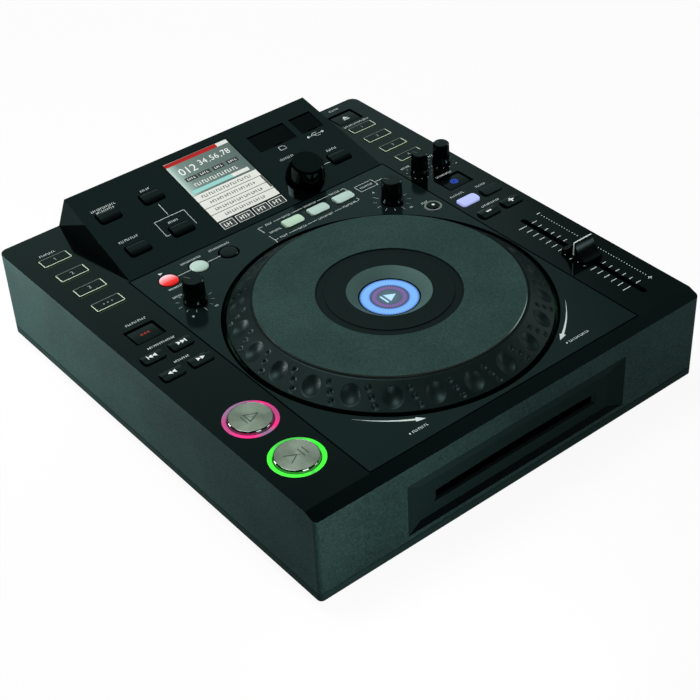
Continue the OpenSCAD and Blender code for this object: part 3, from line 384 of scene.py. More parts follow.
lilac, hotPink, rose = (0.20, 0.10, 0.19), (0.66, 0.015, 0.17), (0.34, 0.04, 0.15)
leaf, lime = (0.05, 0.40, 0.05), (0.045, 0.75, 0.035)
skins = {
    "case": caseMaterial(),
    "panel": panelMaterial(),
    "bezel": bezelMaterial(),
    "tray": plastic("trayPaint", (0.015, 0.034, 0.031), 0.62, 0.1, 2000.0, specular=0.2),
    "driveSteel": sheetMetal("driveSteel", (0.10, 0.10, 0.10), 0.4),
    "rubber": plastic("rubberMatt", (0.012, 0.013, 0.013), 0.8, 0.3, 1800.0),
    "hub": plastic("hubPlastic", (0.012, 0.013, 0.013), 0.5, 0.1),
    "wheel": wheelMaterial(),
    "disc": discMaterial(),
    "glass": plastic("windowBlack", (0.002, 0.003, 0.003), 0.08, 0.0, 2000.0, 0.1),
    "board": boardMaterial(),
    "socket": socketMaterial(),
    "screw": sheetMetal("screwSteel", (0.4, 0.4, 0.4), 0.3),
    "key": plastic("keyPlastic", finishes["key"], 0.20, 0.03),
    "flap": plastic("flapPlastic", (0.0004, 0.0008, 0.0008), 0.34, 0.05, specular=0.12),
    "paleKey": plastic("paleKey", (0.60, 0.82, 0.63), 0.35, 0.05, 1500.0, 0.05),
    "coolKey": plastic("coolKey", (0.57, 0.76, 0.68), 0.35, 0.05, 1500.0, 0.05),
    # the pale stops towards the back of the loop keys are a painted highlight
    "redKey": litKey("redKey", 65.8, 6.2, ((0.0, (0.42, 0.004, 0.004)), (0.30, (0.60, 0.012, 0.01)),
                                           (0.55, (0.62, 0.16, 0.17)), (0.85, (0.66, 0.42, 0.45))), 0.7),
    "whiteKey": litKey("whiteKey", 65.8, 6.2, ((0.1, (0.33, 0.45, 0.40)), (0.5, (0.42, 0.56, 0.50)),
                                               (0.9, (0.44, 0.58, 0.53))), 0.3),
    "lavender": glowing("lavenderKey", (0.46, 0.52, 0.98), 0.62, 0.4, (0.30, 0.32, 0.60)),
    "rubberKey": plastic("rubberKey", (0.0055, 0.0105, 0.0095), 0.5, 0.2, 1800.0, specular=0.4),
    "shaft": sheetMetal("shaftSteel", (0.6, 0.6, 0.6), 0.25),
    "knob": plastic("knobPlastic", finishes["knob"], 0.16, 0.04),
    "slider": plastic("sliderPlastic", finishes["knob"], 0.3, 0.04, specular=0.2),
    "gloss": plastic("knobGloss", finishes["knob"], 0.05, 0.0, 2000.0, 0.1, 0.2),
    "cueSteel": spunSteel("cueSteel", buttonRows["cue"]),
    "playSteel": spunSteel("playSteel", buttonRows["play"]),
    "print": printMaterial("whitePrint", (0.74, 0.84, 0.81)),
    "brightPrint": printMaterial("brightPrint", (0.97, 1.0, 0.98)),
    "faintPrint": printMaterial("greyPrint", (0.36, 0.42, 0.39)),
    "tick": printMaterial("tickPrint", (0.44, 0.52, 0.49)),
    # keyFrame and keyFrameDim are a lit and a shaded copy of one glow; keyGlow is light painted on the deck
    "frameLit": glowing("keyFrame", (0.46, 0.60, 0.42), 0.25, 0.4, (0.60, 0.72, 0.56)),
    "frameDim": glowing("keyFrameDim", (0.10, 0.14, 0.11), 0.10, 0.4, (0.12, 0.16, 0.13)),
    "keyGlow": glowing("keyGlow", (0.010, 0.030, 0.006), 0.6, 0.3, (0.004, 0.010, 0.003)),
    "rim": sheetMetal("polishedRim", (0.17, 0.19, 0.18), 0.07),
    "pinkRing": lampRing("pinkRing", buttonRows["cue"], (
        (0.0, rose), (0.10, hotPink), (0.17, hotPink), (0.23, lilac), (0.27, lilac), (0.33, hotPink), (0.42, rose),
        (0.50, rose), (0.58, hotPink), (0.64, rose), (0.70, lilac), (0.84, lilac), (0.92, rose), (1.0, rose)), 0.8),
    "greenRing": lampRing("greenRing", buttonRows["play"], (
        (0.0, lime), (0.2, lime), (0.24, leaf), (0.28, lime), (0.46, lime), (0.5, (0.03, 0.60, 0.03)), (0.56, lime),
        (0.62, leaf), (0.78, leaf), (0.86, lime), (1.0, lime)), 0.8),
    "engraved": plastic("engravedInk", (0.05, 0.058, 0.048), 0.5),
    "notch": printMaterial("notchPaint", (0.10, 0.14, 0.13)),
    # painted shade for the gaps round the wheel and the keys
    "gap": plastic("gapShade", (0.0004, 0.0006, 0.0006), 0.7, 0.0, 1500.0, 0.1, 0.0),
    "redMark": glowing("redMark", (0.26, 0.010, 0.010), 0.6, 0.4, (0.14, 0.008, 0.008)),
    "blueMark": glowing("blueMark", (0.02, 0.08, 0.62), 0.7, 0.4, (0.02, 0.05, 0.30)),
}

nodeSkins = {
    "top_case": "case", "deck_panel": "panel", "base_tray": "tray", "slot_bezel": "bezel",
    "drive_housing": "driveSteel", "load_roller": "rubber", "turntable": "hub", "jog_ring": "wheel",
    "jog_disc": "disc", "jog_hub": "hub", "jog_display": "glass", "screen": "glass", "control_board": "board",
    "power_supply": "board", "rear_sockets": "socket", "power_switch": "hub", "feet": "rubber",
    "case_screws": "screw", "cue_button": "cueSteel", "play_button": "playSteel", "effect_1": "paleKey",
    "effect_2": "coolKey", "effect_3": "coolKey", "loop_in": "redKey", "loop_out": "whiteKey",
    "range_key": "rubberKey", "tempo_lock_key": "lavender", "jog_adjust_knob": "knob", "effect_knob": "knob",
    "start_knob": "knob", "stop_knob": "knob", "select_knob": "gloss", "select_shaft": "shaft",
    "pitch_slider": "slider", "card_cover": "flap", "usb_cover": "flap",
}
for name, node in nodes.items():
    node.data.materials.clear()
    node.data.materials.append(skins[nodeSkins.get(name, "key")])
print("finishes on the model:", len(nodes))


def polar(radius, angle):
    return radius * math.cos(angle), radius * math.sin(angle)


def addBar(bm, place, width, depth, low=0.01, high=0.06):
    made = bmesh.ops.create_cube(bm, size=1.0)["verts"]
    scale = Matrix.Diagonal((width, depth, high - low, 1.0))
    bmesh.ops.transform(bm, matrix=shifted(place, 0, 0, (low + high) / 2) @ scale, verts=made)


def addLine(bm, place, x0, y0, x1, y1, width=0.45):
    length = math.hypot(x1 - x0, y1 - y0)
    middle = Matrix.Translation(((x0 + x1) / 2, (y0 + y1) / 2, 0))
    turn = Matrix.Rotation(math.atan2(y1 - y0, x1 - x0), 4, "Z")
    addBar(bm, place @ middle @ turn, length + width * 0.9, width)


def addPath(bm, place, points, width=0.45):
    for (x0, y0), (x1, y1) in zip(points, points[1:]):
        addLine(bm, place, x0, y0, x1, y1, width)


def addPolygon(bm, place, points, low=0.01, high=0.06):
    corners = [bm.verts.new(place @ Vector((x, y, low))) for x, y in points]
    face = bm.faces.new(corners)
    grown = bmesh.ops.extrude_face_region(bm, geom=[face])["geom"]
    up = place.to_3x3() @ Vector((0, 0, high - low))
    bmesh.ops.translate(bm, vec=up, verts=[v for v in grown if isinstance(v, bmesh.types.BMVert)])


def addDot(bm, place, radius, low=0.01, high=0.06, segments=20):
    made = bmesh.ops.create_cone(bm, cap_ends=True, segments=segments, radius1=radius, radius2=radius,
                                 depth=high - low)["verts"]
    bmesh.ops.transform(bm, matrix=shifted(place, 0, 0, (low + high) / 2), verts=made)


def addText(bm, place, words, size, low=0.01, high=0.06):
    curve = bpy.data.curves.new("words", "FONT")
    curve.body = words
    curve.size = size
    curve.align_x = "CENTER"
    curve.align_y = "CENTER"
    curve.resolution_u = 3
    curve.extrude = (high - low) / 2
    holder = addObject("words", curve)
    mesh = bpy.data.meshes.new_from_object(holder.evaluated_get(bpy.context.evaluated_depsgraph_get()))
    before = set(bm.verts)
    bm.from_mesh(mesh)
    made = [v for v in bm.verts if v not in before]
    bmesh.ops.transform(bm, matrix=shifted(place, 0, 0, (low + high) / 2), verts=made)
    bpy.data.objects.remove(holder)
    bpy.data.curves.remove(curve)
    bpy.data.meshes.remove(mesh)


def addSpin(bm, place, profile, segments=96):  # profile: closed loop of (radius, height)
    corners = [bm.verts.new((r, 0, z)) for r, z in profile]
    edges = [bm.edges.new((a, b)) for a, b in zip(corners, corners[1:] + corners[:1])]
    before = set(bm.verts) - set(corners)
    bmesh.ops.spin(bm, geom=corners + edges, cent=(0, 0, 0), axis=(0, 0, 1), angle=math.tau, steps=segments,
                   use_merge=True)
    bmesh.ops.transform(bm, matrix=place, verts=[v for v in bm.verts if v not in before])


def addRing(bm, place, inner, outer, low, high, segments):
    addSpin(bm, place, [(inner, low), (outer, low), (outer, high), (inner, high)], segments)


def addFrame(bm, place, width, depth, thick, low, high, corner=0.9):  # rounded outline, open in the middle
    made = bmesh.ops.create_grid(bm, x_segments=1, y_segments=1, size=0.5)["verts"]
    bmesh.ops.scale(bm, vec=(width, depth, 1), verts=made)
    rounded = bmesh.ops.bevel(bm, geom=list(made[0].link_faces[0].verts), offset=corner, offset_type="OFFSET",
                              segments=4, profile=0.5, affect="VERTICES", material=-1)
    whole = max((f for v in rounded["verts"] for f in v.link_faces), key=lambda f: f.calc_area())
    ring = bmesh.ops.inset_individual(bm, faces=[whole], thickness=thick, depth=0.0)["faces"]
    bmesh.ops.delete(bm, geom=[whole], context="FACES_ONLY")
    grown = bmesh.ops.extrude_face_region(bm, geom=ring)["geom"]
    raised = [v for v in grown if isinstance(v, bmesh.types.BMVert)]
    bmesh.ops.translate(bm, vec=(0, 0, high - low), verts=raised)
    every = set(raised) | {v for f in ring if f.is_valid for v in f.verts}
    every |= {e.other_vert(v) for v in every for e in v.link_edges}
    bmesh.ops.transform(bm, matrix=shifted(place, 0, 0, low), verts=list(every))


def makePiece(name, bm, material, body, smooth=0):  # smooth: angle in degrees that stays round
    bmesh.ops.remove_doubles(bm, verts=bm.verts, dist=0.001)
    bmesh.ops.recalc_face_normals(bm, faces=bm.faces)
    bmesh.ops.scale(bm, vec=(mm, mm, mm), verts=bm.verts)
    mesh = bpy.data.meshes.new(name)
    bm.to_mesh(mesh)
    bm.free()
    mesh.materials.append(material)
    piece = addObject(name, mesh)
    if smooth:
        mesh.shade_smooth()
        mesh.set_sharp_from_angle(angle=math.radians(smooth))
    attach(piece, body)
    return piece


wheelShape = {"outer": 101.8, "slopeTop": 86.5, "seat": 12.1, "edge": 0.4, "skirt": -9.7, "bore": 30.06,
              "boreTop": 5.4, "step": 32.2, "hubWall": 33.5, "roof": 8.9, "steps": 50, "rows": 38}
dimples = {"count": 24, "first": 6.0, "up": -0.65, "along": 6.8, "across": 5.85, "depth": 2.3}
smallDimples = {"gap": 5.4, "turn": 1.4, "up": -1.1, "radius": 1.95, "depth": 1.1}


def dimpleDepth(angle, up):  # angle round the wheel in degrees, up the slope from its middle in mm
    pitch = 360.0 / dimples["count"]
    radius = (wheelShape["outer"] + wheelShape["slopeTop"]) / 2
    arc = math.radians(radius)  # mm for each degree
    off = (angle - dimples["first"] + pitch / 2) % pitch - pitch / 2
    far = (off * arc / dimples["across"]) ** 2 + ((up - dimples["up"]) / dimples["along"]) ** 2
    deep = dimples["depth"] * (1 - far) if far < 1 else 0.0
    between = (angle - dimples["first"]) % pitch - pitch / 2
    for row in (-1, 0, 1):
        x = (between - row * smallDimples["turn"]) * arc
        y = up - smallDimples["up"] + row * smallDimples["gap"]
        far = (x * x + y * y) / smallDimples["radius"] ** 2
        if far < 1:
            deep = max(deep, smallDimples["depth"] * (1 - far))
    return deep


def wheelRing():
    bm = bmesh.new()
    outer, top, seat, edge, skirt = (wheelShape[k] for k in ("outer", "slopeTop", "seat", "edge", "skirt"))
    run, rise = outer - top, seat - edge
    length = math.hypot(run, rise)
    rows = wheelShape["rows"]
    slope = [(outer - run * i / rows, edge + rise * i / rows) for i in range(rows + 1)]
    bore, boreTop, step, hubWall, roof = (wheelShape[k] for k in ("bore", "boreTop", "step", "hubWall", "roof"))
    under = [(bore, boreTop), (bore, skirt), (hubWall, skirt), (hubWall, roof), (85.5, roof), (98.6, -0.5),
             (98.6, -2.0), (outer - 0.3, -2.0), (outer, -1.7)]
    profile = under + slope + [(top - 0.4, seat + 0.02), (step, seat), (step, boreTop)]
    corners = [bm.verts.new((r, 0, z)) for r, z in profile]
    edges = [bm.edges.new((a, b)) for a, b in zip(corners, corners[1:] + corners[:1])]
    bmesh.ops.spin(bm, geom=corners + edges, cent=(0, 0, 0), axis=(0, 0, 1), angle=math.tau / dimples["count"],
                   steps=wheelShape["steps"])  # one part of the ring, for one dimple
    inward = Vector((-rise / length, 0, -run / length))
    for v in bm.verts:
        away = math.hypot(v.co.x, v.co.y)
        up = (outer - away) / run
        if 0 < up < 1 and abs(v.co.z - edge - rise * up) < 0.001:
            angle = math.degrees(math.atan2(v.co.y, v.co.x))
            deep = dimpleDepth(angle, (up - 0.5) * length)
            v.co += Matrix.Rotation(math.radians(angle), 3, "Z") @ inward * deep
    part = list(bm.verts) + list(bm.edges) + list(bm.faces)
    for i in range(1, dimples["count"]):
        copied = bmesh.ops.duplicate(bm, geom=part)["geom"]
        turn = Matrix.Rotation(math.tau * i / dimples["count"], 3, "Z")
        moved = [v for v in copied if isinstance(v, bmesh.types.BMVert)]
        bmesh.ops.rotate(bm, cent=(0, 0, 0), matrix=turn, verts=moved)
    bmesh.ops.transform(bm, matrix=onDeck(0, wheelY), verts=bm.verts)
    ring = makePiece("wheelRing", bm, skins["wheel"], "jog_wheel", 50)
    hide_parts("jog_ring")


wheelRing()
# painted shade: a thin near-black ring laid on the deck round the wheel, where shade falls in the gap
wheelGapShade = {"inner": 103.6, "outer": 105.4, "low": 0.01, "high": 0.04}
bm = bmesh.new()
addRing(bm, onDeck(0, wheelY), *wheelGapShade.values(), 240)
makePiece("wheelGapShade", bm, skins["gap"], "player")
print("wheel ring with its dimples")

rings = {"inner": 14.1, "outer": 16.85, "low": -0.98, "high": 0.2, "soft": 0.5, "segments": 120}
rimProfile = [(12.7, 1.72), (12.86, 1.83), (13.02, 1.81), (13.18, 1.72), (13.32, 1.54), (13.44, 1.28), (13.54, 0.95),
              (13.62, 0.42), (13.3, 0.42)]
a, b, low, high, soft = (rings[k] for k in ("inner", "outer", "low", "high", "soft"))
lampProfile = [(a, low), (b, low), (b, high - soft), (b - soft * 0.3, high - soft * 0.3), (b - soft, high),
               (a + soft, high), (a, high - soft)]
for button, skin in (("cue", "pinkRing"), ("play", "greenRing")):
    bm = bmesh.new()
    addSpin(bm, onDeck(-column, buttonRows[button]), lampProfile, rings["segments"])
    makePiece(button + "Light", bm, skins[skin], "player", 35)
for button, y in buttonRows.items():
    bm = bmesh.new()
    addSpin(bm, onDeck(-column, y), rimProfile, rings["segments"])
    makePiece(button + "_buttonRim", bm, skins["rim"], button + "_button", 50)
print("light rings and polished rims")

# painted shade: thin near-black outlines laid round the pod keys and the round keys, where shade falls in their gaps
gaps = {"width": 17.3, "depth": 11.5, "thick": 0.9, "corner": 2.4, "round": 6.6, "roundOut": 7.3, "low": 0.01,
        "high": 0.03, "podKeys": ((-84.6, 22.0), (-50.2, 22.0), (-84.6, 57.3), (-50.2, 57.3), (84.5, 22.0)),
        "roundKeys": (-86.1, -62.4, -38.7), "roundRow": 65.8}
low, high = gaps["low"], gaps["high"]
bm = bmesh.new()
for x, s in gaps["podKeys"]:
    addFrame(bm, onPod(x, s), gaps["width"], gaps["depth"], gaps["thick"], low, high, gaps["corner"])
for x in gaps["roundKeys"]:
    addRing(bm, onDeck(x, gaps["roundRow"]), gaps["round"], gaps["roundOut"], low, high, 48)
makePiece("keyGapShades", bm, skins["gap"], "player")
print("gaps round keys")


keyMarks = {"crown": 1.7, "flatTop": 0.6, "wellTop": -0.5, "domeRadius": 12.0}


def markKey(name, draw, place, skin="print"):
    bm = bmesh.new()
    draw(bm, place)
    makePiece(name + "Mark", bm, skins[skin], name)


def drapeOnCrown(bm, place):  # lets a flat mark follow a key's crown
    back = place.inverted()
    crown, bow = keyMarks["crown"], keyMarks["domeRadius"]
    for v in bm.verts:
        local = back @ v.co
        local.z += crown - bow + math.sqrt(bow * bow - local.y * local.y)
        v.co = place @ local


def skipMark(direction, bar):
    def draw(bm, place):
        for shift in (-2.6, 0.3):
            tip, tail = (shift + 2.8, shift) if direction > 0 else (-shift - 2.8, -shift)
            addPolygon(bm, place, [(tip, 0), (tail, 1.7), (tail, -1.7)])
        if bar:
            addBar(bm, shifted(place, direction * 3.5, 0), 0.6, 3.4)
        bmesh.ops.subdivide_edges(bm, edges=bm.edges, cuts=1)
        drapeOnCrown(bm, place)
    return draw


def barsMark(vertical):
    def draw(bm, place):
        addBar(bm, place, 4.4, 1.2)
        if vertical:
            addBar(bm, place, 1.2, 4.4)
        bmesh.ops.subdivide_edges(bm, edges=bm.edges, cuts=2)
        drapeOnCrown(bm, place)
    return draw


for name, x, y, draw in (
        ("skip_back_key", -column - 10.2, wheelY + 57.4, skipMark(-1, True)),
        ("skip_forward_key", -column + 10.2, wheelY + 57.4, skipMark(1, True)),
        ("search_back_key", -column - 10.2, wheelY + 36.2, skipMark(-1, False)),
        ("search_forward_key", -column + 10.2, wheelY + 36.2, skipMark(1, False)),
        ("bend_plus", column + 10.2, wheelY + 36.9, barsMark(True)),
        ("bend_minus", column - 10.2, wheelY + 36.9, barsMark(False))):
    markKey(name, draw, onDeck(x, y), "brightPrint")


def numberMark(words, size):
    def draw(bm, place):
        addText(bm, place, words, size)
    return draw


def dotMark(bm, place):
    for x in (-3.0, 0.0, 3.0):
        addDot(bm, shifted(place, x, 0), 0.55)


outlined = {"width": 20.6, "thick": 0.6, "low": 0.12, "high": 0.5, "hotDepth": 9.5, "sourceDepth": 8.4, "glow": 1.1}


def litFrame(name, place, depth):  # painted light: bright along the front and the ends, dim along the back, with a glow painted on the deck in front
    width, thick, low, high = (outlined[k] for k in ("width", "thick", "low", "high"))
    bm = bmesh.new()
    addFrame(bm, place, width, depth, thick, low, high)
    makePiece(name + "Frame", bm, skins["frameDim"], name)
    # painted light: a brighter copy of the frame's glow along the front and the ends
    bm = bmesh.new()
    front = shifted(place, 0, thick / 2 - depth / 2)
    addBar(bm, front, width - 1.2, thick * 0.9, low, high + 0.04)
    for side in (-1, 1):
        end = shifted(place, side * (width - thick) / 2, -0.2)
        addBar(bm, end, thick * 0.9, depth - 1.2, low, high + 0.04)
    makePiece(name + "Edge", bm, skins["frameLit"], name)
    # painted light: a faint glowing strip on the deck in front of the key, for the light it spills
    bm = bmesh.new()
    addBar(bm, shifted(place, 0, -depth / 2 - outlined["glow"]), width, outlined["glow"], 0.01, 0.03)
    makePiece(name + "Glow", bm, skins["keyGlow"], "player")


hotCues = [("hot_cue_%d" % i, numberMark(str(i), 4.6)) for i in (1, 2, 3)] + [("memory_key", dotMark)]
sources = [("source_%d" % i, numberMark(str(i), 4.0)) for i in (1, 2, 3, 4)]
keyRows = ((hotCues, -column, 33.7, 21.7, "hotDepth"), (sources, column, 39.4, 17.5, "sourceDepth"))
for keys, x, first, pitch, depth in keyRows:
    for i, (name, draw) in enumerate(keys):
        place = onDeck(x, case["rearEdge"] - first - i * pitch)
        markKey(name, draw, shifted(place, 0, 0, keyMarks["flatTop"]), "faintPrint")
        litFrame(name, place, outlined[depth])


def reverseMark(bm, place):
    for x in (-1.6, 0.8, 3.2):
        addPolygon(bm, place, [(x - 2.0, 0), (x, 1.3), (x, -1.3)])


def wheelMark(bm, place):
    for radius in (1.0, 2.2):
        addRing(bm, place, radius, radius + 0.6, 0.01, 0.06, 32)


def ejectMark(bm, place):
    addPolygon(bm, place, [(0, 2.6), (-2.6, -0.4), (2.6, -0.4)])
    addBar(bm, shifted(place, 0, -1.7), 5.2, 1.0)


wellPlace = {"direction_key": (-column, wheelY + 81.9, reverseMark, "redMark"),
             "jog_mode_key": (column, wheelY + 82.9, wheelMark, "blueMark"),
             "eject_key": (column, case["rearEdge"] - 19.8, ejectMark, "print")}
for name, (x, y, draw, skin) in wellPlace.items():
    markKey(name, draw, onDeck(x, y, keyMarks["wellTop"]), skin)


engraving = 0.62


def cueMark(bm, place):
    addBar(bm, shifted(place, -4.6, 0), engraving, 7.0)
    addPath(bm, place, [(5.2, 0), (-2.4, 3.5), (-2.4, -3.5), (5.2, 0)], engraving)


def playMark(bm, place):
    addPath(bm, place, [(-6.4, 3.8), (0, 0), (-6.4, -3.8)], engraving)
    for x in (3.0, 6.0):
        addBar(bm, shifted(place, x, 0), engraving, 7.2)


for button, draw in (("cue", cueMark), ("play", playMark)):
    markKey(button + "_button", draw, onDeck(-column, buttonRows[button], 1.8), "engraved")
bm = bmesh.new()
addDot(bm, onDeck(*tapPlace, 1.4), 1.0)
makePiece("tapMark", bm, skins["brightPrint"], "tap_button")
print("marks on keys")


def addTriangle(bm, place, x, y, size, turn):
    angles = [math.radians(corner + turn) for corner in (0, 120, 240)]
    addPolygon(bm, place, [(x + size * math.cos(angle), y + size * math.sin(angle)) for angle in angles])


strokes = {"pitch": 1.45, "weight": 0.36, "group": 3}


def addStrokes(bm, place, x, y, width, height=1.9, scale=1.0):  # fine upright strokes that stand for a word
    count = max(2, round(width / (strokes["pitch"] * scale)))
    step, weight = width / count, strokes["weight"] * scale
    for i in range(count):
        left = x - width / 2 + step * (i + 0.3)
        addBar(bm, shifted(place, left, y), weight, height)
        if (i + 1) % strokes["group"]:  # the last of each group stands alone
            level = (height - weight) / 2 * (1, -1, 0)[(i + round(width)) % 3]
            addBar(bm, shifted(place, left + step * 0.3, y + level), step * 0.6, weight)


arrowShape = {"steps": 14, "tip": 3.2, "wing": 1.3}


def addArcArrow(bm, place, x, y, radius, fromAngle, toAngle, width):  # swells from a point to its head
    def corner(reach, angle):
        return (x + reach * math.cos(angle), y + reach * math.sin(angle))

    steps = arrowShape["steps"]
    outline, back = [], []
    for i in range(steps + 1):
        angle = math.radians(fromAngle + (toAngle - fromAngle) * i / steps)
        half = width / 2 * i / steps
        outline.append(corner(radius + half, angle))
        back.append(corner(radius - half, angle))
    for i in range(steps):
        corners = [outline[i], outline[i + 1], back[i + 1], back[i]]
        addPolygon(bm, place, corners if i else corners[:3])
    end = math.radians(toAngle)
    tip = math.radians(toAngle + math.copysign(arrowShape["tip"], toAngle - fromAngle))
    wing = width * arrowShape["wing"]
    addPolygon(bm, place, [corner(radius, tip), corner(radius + wing, end), corner(radius - wing, end)])


lineWidth = 0.36
bm = bmesh.new()
deck = onDeck()
labels = [  # x, y, width
    (-129.3, 146, 12), (-126.7, 42.8, 15), (-126.7, 14.1, 20), (-126.3, -7.4, 11), (-62.9, 75, 16), (-39.8, 75.3, 17),
    (-87.0, 56.4, 11), (-92.0, 47.6, 7), (129.1, 165, 9), (129.5, 139, 23), (114.9, 66.5, 8), (138.2, 66.4, 5),
    (128.4, 41.2, 14), (137.8, 14.0, 9), (117.7, 15.6, 12), (127.4, -7.2, 16), (94.9, 23.3, 5.5),
    (15.7, 74.8, 7), (36.0, 74.8, 11), (57.5, 74.8, 9), (15.5, 56.4, 7), (35.4, 56.4, 13), (56.3, 56.4, 12),
    (0.8, 74.8, 5.5), (-0.2, 56.4, 6.5), (-0.6, 65.4, 9.5), (79.5, 66.9, 11),
]
for x, y, width in labels:
    addStrokes(bm, deck, x, y, width)
addPolygon(bm, deck, [(-87.5, 74.1), (-84.6, 75.4), (-87.5, 76.7)])
deckLines = [  # each a run of corners
    [(-79.3, 65.8), (-69.2, 65.8)], [(-55.6, 65.8), (-45.5, 65.8)], [(-8.0, 71.4), (-8.0, 74.8), (-4.5, 74.8)],
    [(5.0, 74.8), (11.3, 74.8)], [(20.3, 74.8), (29.4, 74.8)], [(42.6, 74.8), (52.2, 74.8)],
    [(62.9, 74.8), (66.0, 74.8), (66.0, 71.4)], [(-7.8, 59.2), (-7.8, 53.0)], [(-7.8, 56.4), (-5.0, 56.4)],
    [(4.6, 56.4), (11.2, 56.4)], [(19.8, 56.4), (27.5, 56.4)], [(43.4, 56.4), (49.3, 56.4)],
    [(63.2, 56.4), (64.7, 56.4), (64.7, 59.2)], [(-7.8, 71.4), (-7.8, 68.0)], [(-7.8, 62.6), (-7.8, 59.2)],
    [(72, 63), (87, 63), (87, 70.8), (72, 70.8), (72, 63)], [(87.0, 66.9), (94.0, 66.7)],
]
for points in deckLines:
    addPath(bm, deck, points, lineWidth)
pitchScale = {"first": -44.4, "pitch": 5.8, "count": 17, "left": (122.2, 7.0, 2.2), "right": (132.7, 4.4, -1.2),
              "shorter": 0.72, "weight": 0.55, "dots": 141.9, "dotPitch": 2.2,
              "runs": ((-75.0, -42.0), (-135.0, -94.0))}
for i in range(pitchScale["count"]):
    y = pitchScale["first"] - i * pitchScale["pitch"]
    long = 1.0 if i in (0, 8, 16) else pitchScale["shorter"]
    for x, length, shift in (pitchScale["left"], pitchScale["right"]):
        addBar(bm, onDeck(x + (1 - long) * shift, y), length * long, pitchScale["weight"])
for low, high in pitchScale["runs"]:
    count = int((high - low) / pitchScale["dotPitch"])
    for i in range(count + 1):
        addDot(bm, onDeck(pitchScale["dots"], low + (high - low) * i / count), 0.38, segments=10)
for x, y, width, depth in ((141.9, -38.8, 3.0, 0.7), (141.7, -138.9, 3.0, 0.7), (141.7, -138.9, 0.7, 3.0)):
    addBar(bm, onDeck(x, y), width, depth)
arrows = {"radius": 109.0, "width": 1.5, "wordRow": -151.6}
for start, end in ((-37.8, -57.0), (-141.8, -122.5)):
    addArcArrow(bm, deck, 0, wheelY, arrows["radius"], start, end, arrows["width"])
for x, turn, width in ((55.2, 0, 16.5), (-69.2, 180, 11.5)):
    addTriangle(bm, onDeck(x, arrows["wordRow"]), 0, 0, 0.9, turn)
    addStrokes(bm, deck, x + width / 2 + 1.8, arrows["wordRow"], width, 1.9)
for x, y, words in ((-96.6, 22.9, "0"), (-79.2, 22.6, "10"), (77.4, 56.7, "0"), (84.5, 25.2, "10")):
    addText(bm, onDeck(x, y), words, 2.6)
addDot(bm, onDeck(145.4, 47.1), 0.55)
makePiece("deckPrint", bm, skins["print"], "player")
bm = bmesh.new()
knobs = {"jog_adjust_knob": (-86.2, 35.9), "effect_knob": (80.2, 40.1), "start_knob": (column - 10.1, 55.4),
         "stop_knob": (column + 10.1, 55.4)}
scaleAngles = [math.radians(-240 + 30 * i) for i in range(11)]
knobScale = {"inner": 10.2, "jog_adjust_knob": 13.2, "effect_knob": 14.0, "short": 0.7, "weight": 0.3,
             "dots": 8.9, "dot": 0.36}
for name in ("jog_adjust_knob", "effect_knob"):
    inner, outer = knobScale["inner"], knobScale[name]
    for i, angle in enumerate(scaleAngles):
        reach = outer if i % 5 == 0 else inner + (outer - inner) * knobScale["short"]
        addLine(bm, onDeck(*knobs[name]), *polar(inner, angle), *polar(reach, angle), knobScale["weight"])
for name in ("start_knob", "stop_knob"):
    for angle in scaleAngles:
        dot = [middle + off for middle, off in zip(knobs[name], polar(knobScale["dots"], angle))]
        addDot(bm, onDeck(*dot), knobScale["dot"], segments=10)
makePiece("knobScales", bm, skins["tick"], "player")
print("print on the deck")

bm = bmesh.new()
pod = onPod()
podLines = [  # each a run of corners: links between keys, card sign, plug sign
    [(-38.8, 20.9), (-38.8, 36.1), (-62.6, 36.1), (-62.6, 21.3), (-59.8, 21.3)], [(-50.3, 49.1), (-50.3, 37.6)],
    [(69.5, 21.3), (75.4, 21.3)],
    [(53.2, 48.6), (58.2, 48.6), (58.2, 51.0), (57.0, 52.2), (53.2, 52.2), (53.2, 48.6)],
    [(78.0, 49.5), (90.5, 49.5)], [(81.0, 49.5), (83.0, 51.3), (86.5, 51.3)],
    [(83.0, 49.5), (85.0, 47.7), (88.0, 47.7)],
]
podLabels = [  # x, s, width
    (-50.4, 65.6, 7.5), (-50.9, 31.0, 8), (-85.5, 32.5, 15), (-83.5, 66.0, 19), (-83.5, 63.2, 14), (52.3, 40.5, 12),
    (84.8, 31.2, 9),
]
for points in podLines:
    addPath(bm, pod, points, lineWidth)
for x, s, width in podLabels:
    addStrokes(bm, pod, x, s, width)
addDot(bm, shifted(pod, 78.2, 49.5), 1.0)
addTriangle(bm, pod, 91.0, 49.5, 1.3, 0)
makePiece("podPrint", bm, skins["print"], "player")
print("print on the pod")

knobMarks = {"large": (7.0, 17.0), "small": (5.7, 15.5), "width": 0.5, "turn": 120}
for name, (x, y) in knobs.items():
    radius, height = knobMarks["large" if name in knobScale else "small"]
    bm = bmesh.new()
    place = onDeck(x, y, 0, knobMarks["turn"])
    addBar(bm, shifted(place, radius * 0.56, 0, height), radius * 0.62, knobMarks["width"])
    addBar(bm, shifted(place, radius + 0.03, 0), 0.1, knobMarks["width"], 4.8, height - 0.8)
    makePiece(name + "Line", bm, skins["notch"], name)

sliderMark = {"x": column - 0.1, "y": wheelY - 39.8, "half": 7.8, "top": 12.5, "line": 1.0}
bm = bmesh.new()
place = onDeck(sliderMark["x"], sliderMark["y"])
addBar(bm, shifted(place, 0, 0, sliderMark["top"]), 2 * sliderMark["half"], sliderMark["line"])
for side in (-1, 1):
    addBar(bm, shifted(place, side * (sliderMark["half"] + 0.03), 0), 0.08, sliderMark["line"],
           3.2, sliderMark["top"])
makePiece("sliderLine", bm, skins["print"], "pitch_slider")
print("lines on knobs and slider")


screenSpan = {"half": 26.4, "low": 4.2, "high": 79.0, "bright": 0.35}


